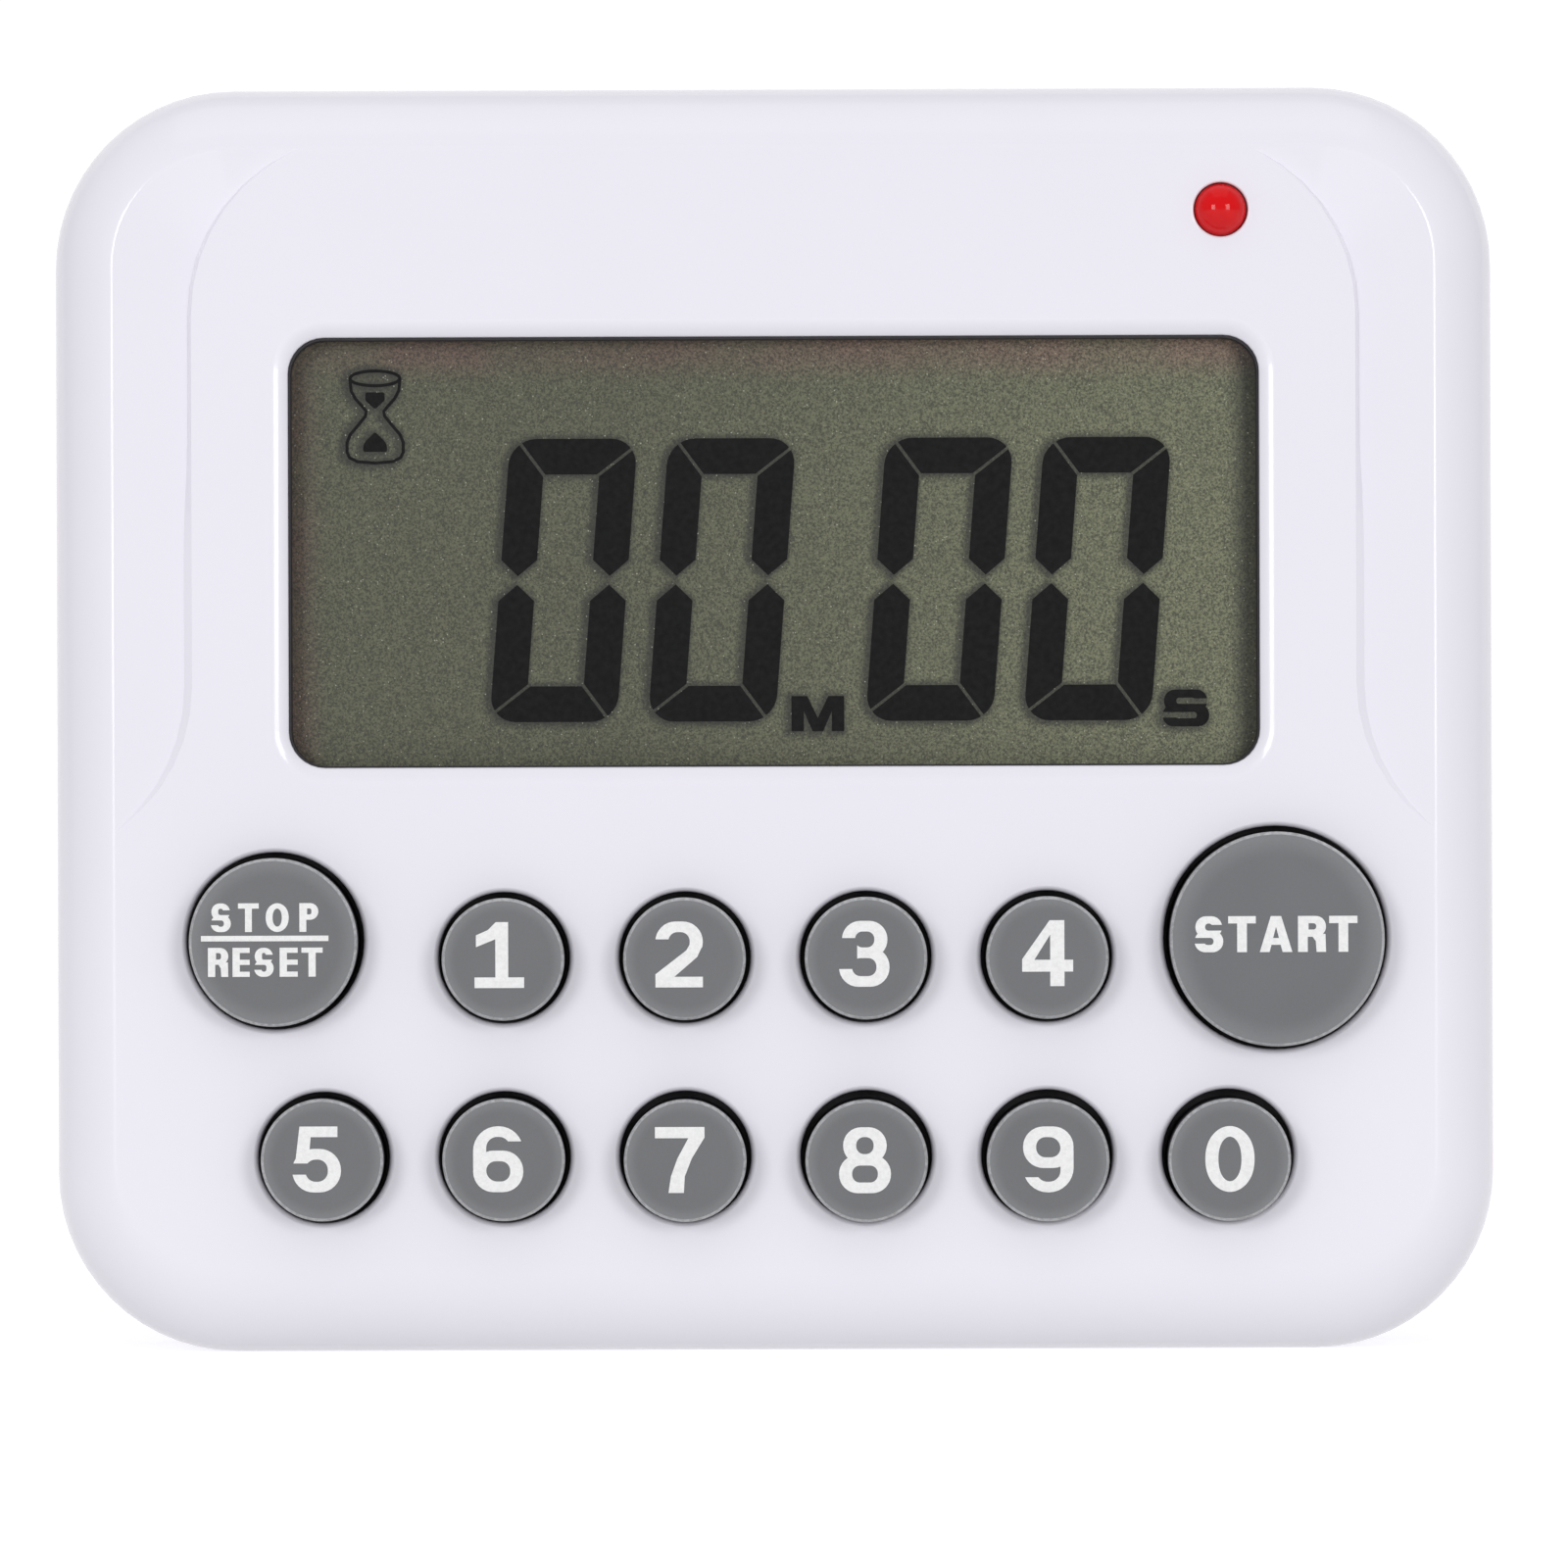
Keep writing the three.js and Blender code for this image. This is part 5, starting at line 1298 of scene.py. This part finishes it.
class TIMER_OT_fixings(Operator):
    """Builds the case screws with their cross recesses, and the two magnets"""

    bl_idname = "timer.fixings"
    bl_label = "Screws and magnets"

    def execute(self, context):
        for name, x, z in post_places():
            head = [(2.2 * math.sin(a), 8.5 - 1.1 * (1 - math.cos(a))) for a in arc(8)]
            screw = turned([
                *head, (2.2, 7.1), (2.1, 7.0), (1.1, 7.0), (1.1, -3.4), (0.0, -4.5),
            ], x, z, 48)
            cross = [bar(x - u, x + u, 7.5, 9, z - v, z + v) for u, v in ((1.25, 0.25), (0.25, 1.25))]
            piece(combined(screw, cross, "DIFFERENCE"), "screw_" + name, "case",
                  [finish("steel")], ["case_screw_" + name])
        for name in ("left", "right"):
            low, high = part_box("magnet_" + name)
            (x, z), radius = middle_of("magnet_" + name), 5.0
            y0, y1 = mm(low.y), mm(high.y)
            disc = turned([
                (0, y0), (radius - 0.2, y0), (radius, y0 + 0.2), (radius, y1 - 0.25), (radius - 0.07, y1 - 0.07),
                (radius - 0.25, y1), (0, y1),
            ], x, z, 96)
            piece(disc, "magnet_disc_" + name, "case", [finish("magnet")], ["magnet_" + name])
        return {"FINISHED"}


class TIMER_OT_power(Operator):
    """Builds the two dry cells and their cone springs"""

    bl_idname = "timer.power"
    bl_label = "Cells and springs"

    def execute(self, context):
        for name, side in (("lower", 1), ("upper", -1)):
            low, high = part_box("battery_" + name)
            mid = Vector((mm(low.x + high.x) / 2, mm(low.y + high.y) / 2, mm(low.z + high.z) / 2))
            half, radius, nub = 22.25, 5.25, 21.35
            cell = turned([
                (0, -half), (3.6, -half), (3.9, -half + 0.15), (radius - 0.45, -half + 0.15),
                (radius - 0.12, -half + 0.3),
                (radius, -half + 0.6), (radius, nub - 0.6), (radius - 0.12, nub - 0.25), (radius - 0.6, nub - 0.05),
                (2.6, nub - 0.05), (2.3, nub + 0.1), (1.9, nub + 0.15), (1.85, half - 0.15), (1.7, half), (0, half),
            ], 0, 0, 64)
            paint(cell, 1, lambda at, normal: math.hypot(at.x, at.z) < radius - 0.5)
            turn = Matrix.Rotation(math.radians(-90 * side), 3, "Z")
            bmesh.ops.rotate(cell, cent=(0, 0, 0), matrix=turn, verts=cell.verts)
            bmesh.ops.translate(cell, vec=mid, verts=cell.verts)
            looks = [finish("jacket"), finish("nickel")]
            piece(cell, "cell_" + name, "case", looks, ["battery_" + name])
            low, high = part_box("spring_" + name)
            axis = Vector((mm(low.x if side > 0 else high.x), mm(low.y + high.y) / 2, mm(low.z + high.z) / 2))
            long, wire, turns, steps = mm(high.x - low.x), 0.3, 3, 36
            count = turns * steps
            centres = []
            for i in range(count + 1):
                share = i / count
                spread = 3.6 - 1.3 * share
                a = share * turns * math.tau
                along = side * (wire + share * (long - 2 * wire))
                centres.append(axis + Vector((along, spread * math.cos(a), spread * math.sin(a))))
            coil = closed(tube(centres, wire, 3))
            piece(coil, "coil_" + name, "case", [finish("nickel")], ["spring_" + name])
        return {"FINISHED"}


class TIMER_OT_inside(Operator):
    """Gives every carried-over part of the frame its real finish"""

    bl_idname = "timer.inside"
    bl_label = "Inside parts"

    def execute(self, context):
        worn = {
            "glass": ["lcd_front_glass", "lcd_rear_glass"],
            "reflector": ["lcd_reflector"],
            "rubber": ["zebra_strip_lower", "zebra_strip_upper", "keypad_mat"],
            "holder": ["lcd_holder"],
            "tin": ["lamp_lead_left", "lamp_lead_right"],
            "board": ["circuit_board"],
            "epoxy": ["chip_blob"],
            "nickel": ["clock_crystal", "contact_bridge", "contact_positive", "contact_negative"],
            "steel": ["board_screw_left", "board_screw_right", "stand_pin"],
            "brass": ["buzzer_plate"],
            "ceramic": ["buzzer_ceramic"],
        }
        for name, nodes in worn.items():
            for node in nodes:
                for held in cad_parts[node].material_slots:
                    held.material = finish(name)
        return {"FINISHED"}


# ---------------------------------------------------------------- studio


def lamp_box(name, place, aim, size, power):
    """A soft rectangular light at a place, turned to its aim."""
    data = bpy.data.lights.new(name, "AREA")
    data.shape = "RECTANGLE"
    data.size, data.size_y = size
    data.energy = power
    light = bpy.data.objects.new(name, data)
    light.location = place
    light.rotation_euler = (Vector(aim) - Vector(place)).to_track_quat("-Z", "Y").to_euler()
    bpy.context.scene.collection.objects.link(light)


class TIMER_OT_studio(Operator):
    """Sets the floor, the soft lights and the camera"""

    bl_idname = "timer.studio"
    bl_label = "Studio"

    def execute(self, context):
        studio = context.scene.timer_studio
        scene = context.scene
        bm = bmesh.new()
        edge = [bm.verts.new((-3, y, z)) for y, z in ((-3, 0), (1.6, 0), (1.6, 2.6))]
        spine = [bm.edges.new(pair) for pair in zip(edge, edge[1:])]
        made = bmesh.ops.extrude_edge_only(bm, edges=spine)["geom"]
        bmesh.ops.translate(bm, vec=(6, 0, 0), verts=[item for item in made if isinstance(item, bmesh.types.BMVert)])
        fold = [e for e in bm.edges if all(abs(v.co.y - 1.6) < 1e-6 and abs(v.co.z) < 1e-6 for v in e.verts)]
        bmesh.ops.bevel(bm, geom=fold, offset=1.0, segments=24, profile=0.5, affect="EDGES", material=-1)
        bmesh.ops.recalc_face_normals(bm, faces=bm.faces)
        mesh = as_mesh(bm, "floor")
        mesh.shade_smooth()
        material, tree, place = started("matt_white_paper")
        fibre = add(tree, "TexNoise", {"Vector": place, "Scale": 250.0, "Detail": 3.0})
        tone = add(tree, "MapRange", {"Value": fibre.outputs["Fac"], "To Min": 0.995, "To Max": 1.0})
        tint = add(tree, "HueSaturation", {"Color": studio.floor_colour, "Value": tone.outputs["Result"]})
        surfaced(tree, {"Base Color": tint.outputs["Color"], "Roughness": 0.9, "IOR": 1.4,
                        "Emission Color": (1, 1, 1, 1), "Emission Strength": 0.45})
        mesh.materials.append(material)
        floor = bpy.data.objects.new("floor", mesh)
        scene.collection.objects.link(floor)
        floor.visible_diffuse = False

        middle = Vector((0, FACE_Y * MM, 36 * MM))
        for name, side in (("softbox_left", -1), ("softbox_right", 1)):
            lamp_box(name, (side * 0.52, -0.85, 0.22), middle, (0.3, 0.36), studio.side_power)
        lamp_box("softbox_top", (0, -0.25, 1.1), middle, (1.0, 0.8), studio.top_power)

        world = bpy.data.worlds.new("studio")
        world.use_nodes = True
        world.node_tree.nodes["Background"].inputs["Color"].default_value = (1, 1, 1, 1)
        world.node_tree.nodes["Background"].inputs["Strength"].default_value = studio.surround
        scene.world = world
        scene.view_settings.view_transform = "Standard"

        data = bpy.data.cameras.new("camera")
        data.sensor_width = 36
        data.lens = 36 * studio.distance / studio.field
        data.clip_start, data.clip_end = 0.01, 20
        camera = bpy.data.objects.new("camera", data)
        roll = Matrix.Rotation(math.radians(-0.2), 4, "Z")
        camera.matrix_world = (
            Matrix.Translation((0.53 * MM, FACE_Y * MM - studio.distance, 32.3 * MM))
            @ Matrix.Rotation(math.radians(90), 4, "X") @ roll
        )
        scene.collection.objects.link(camera)
        scene.camera = camera
        return {"FINISHED"}


# ---------------------------------------------------------------- panel and running


class TIMER_PT_panel(Panel):
    bl_idname = "TIMER_PT_panel"
    bl_label = "Lab timer"
    bl_space_type = "VIEW_3D"
    bl_region_type = "UI"
    bl_category = "Lab timer"

    def draw(self, context):
        for group in GROUPS:
            settings = getattr(context.scene, group)
            box = self.layout.box()
            for prop in settings.bl_rna.properties:
                if prop.identifier not in ("rna_type", "name"):
                    box.prop(settings, prop.identifier)
        for operator in OPERATORS:
            self.layout.operator(operator.bl_idname)


GROUPS = {
    "timer_case": TimerCase,
    "timer_keys": TimerKeys,
    "timer_display": TimerDisplay,
    "timer_studio": TimerStudio,
}
OPERATORS = (
    TIMER_OT_front_case,
    TIMER_OT_rear_case,
    TIMER_OT_battery_door,
    TIMER_OT_stand,
    TIMER_OT_keys,
    TIMER_OT_display,
    TIMER_OT_lamp,
    TIMER_OT_fixings,
    TIMER_OT_power,
    TIMER_OT_inside,
    TIMER_OT_studio,
)


def register():
    for cls in (*GROUPS.values(), *OPERATORS, TIMER_PT_panel):
        bpy.utils.register_class(cls)
    for name, group in GROUPS.items():
        setattr(bpy.types.Scene, name, PointerProperty(type=group))


def unregister():
    for name in GROUPS:
        delattr(bpy.types.Scene, name)
    for cls in reversed((*GROUPS.values(), *OPERATORS, TIMER_PT_panel)):
        bpy.utils.unregister_class(cls)


def main():
    register()
    for operator in OPERATORS:
        group, name = operator.bl_idname.split(".")
        getattr(getattr(bpy.ops, group), name)()


if __name__ == "__main__":
    main()
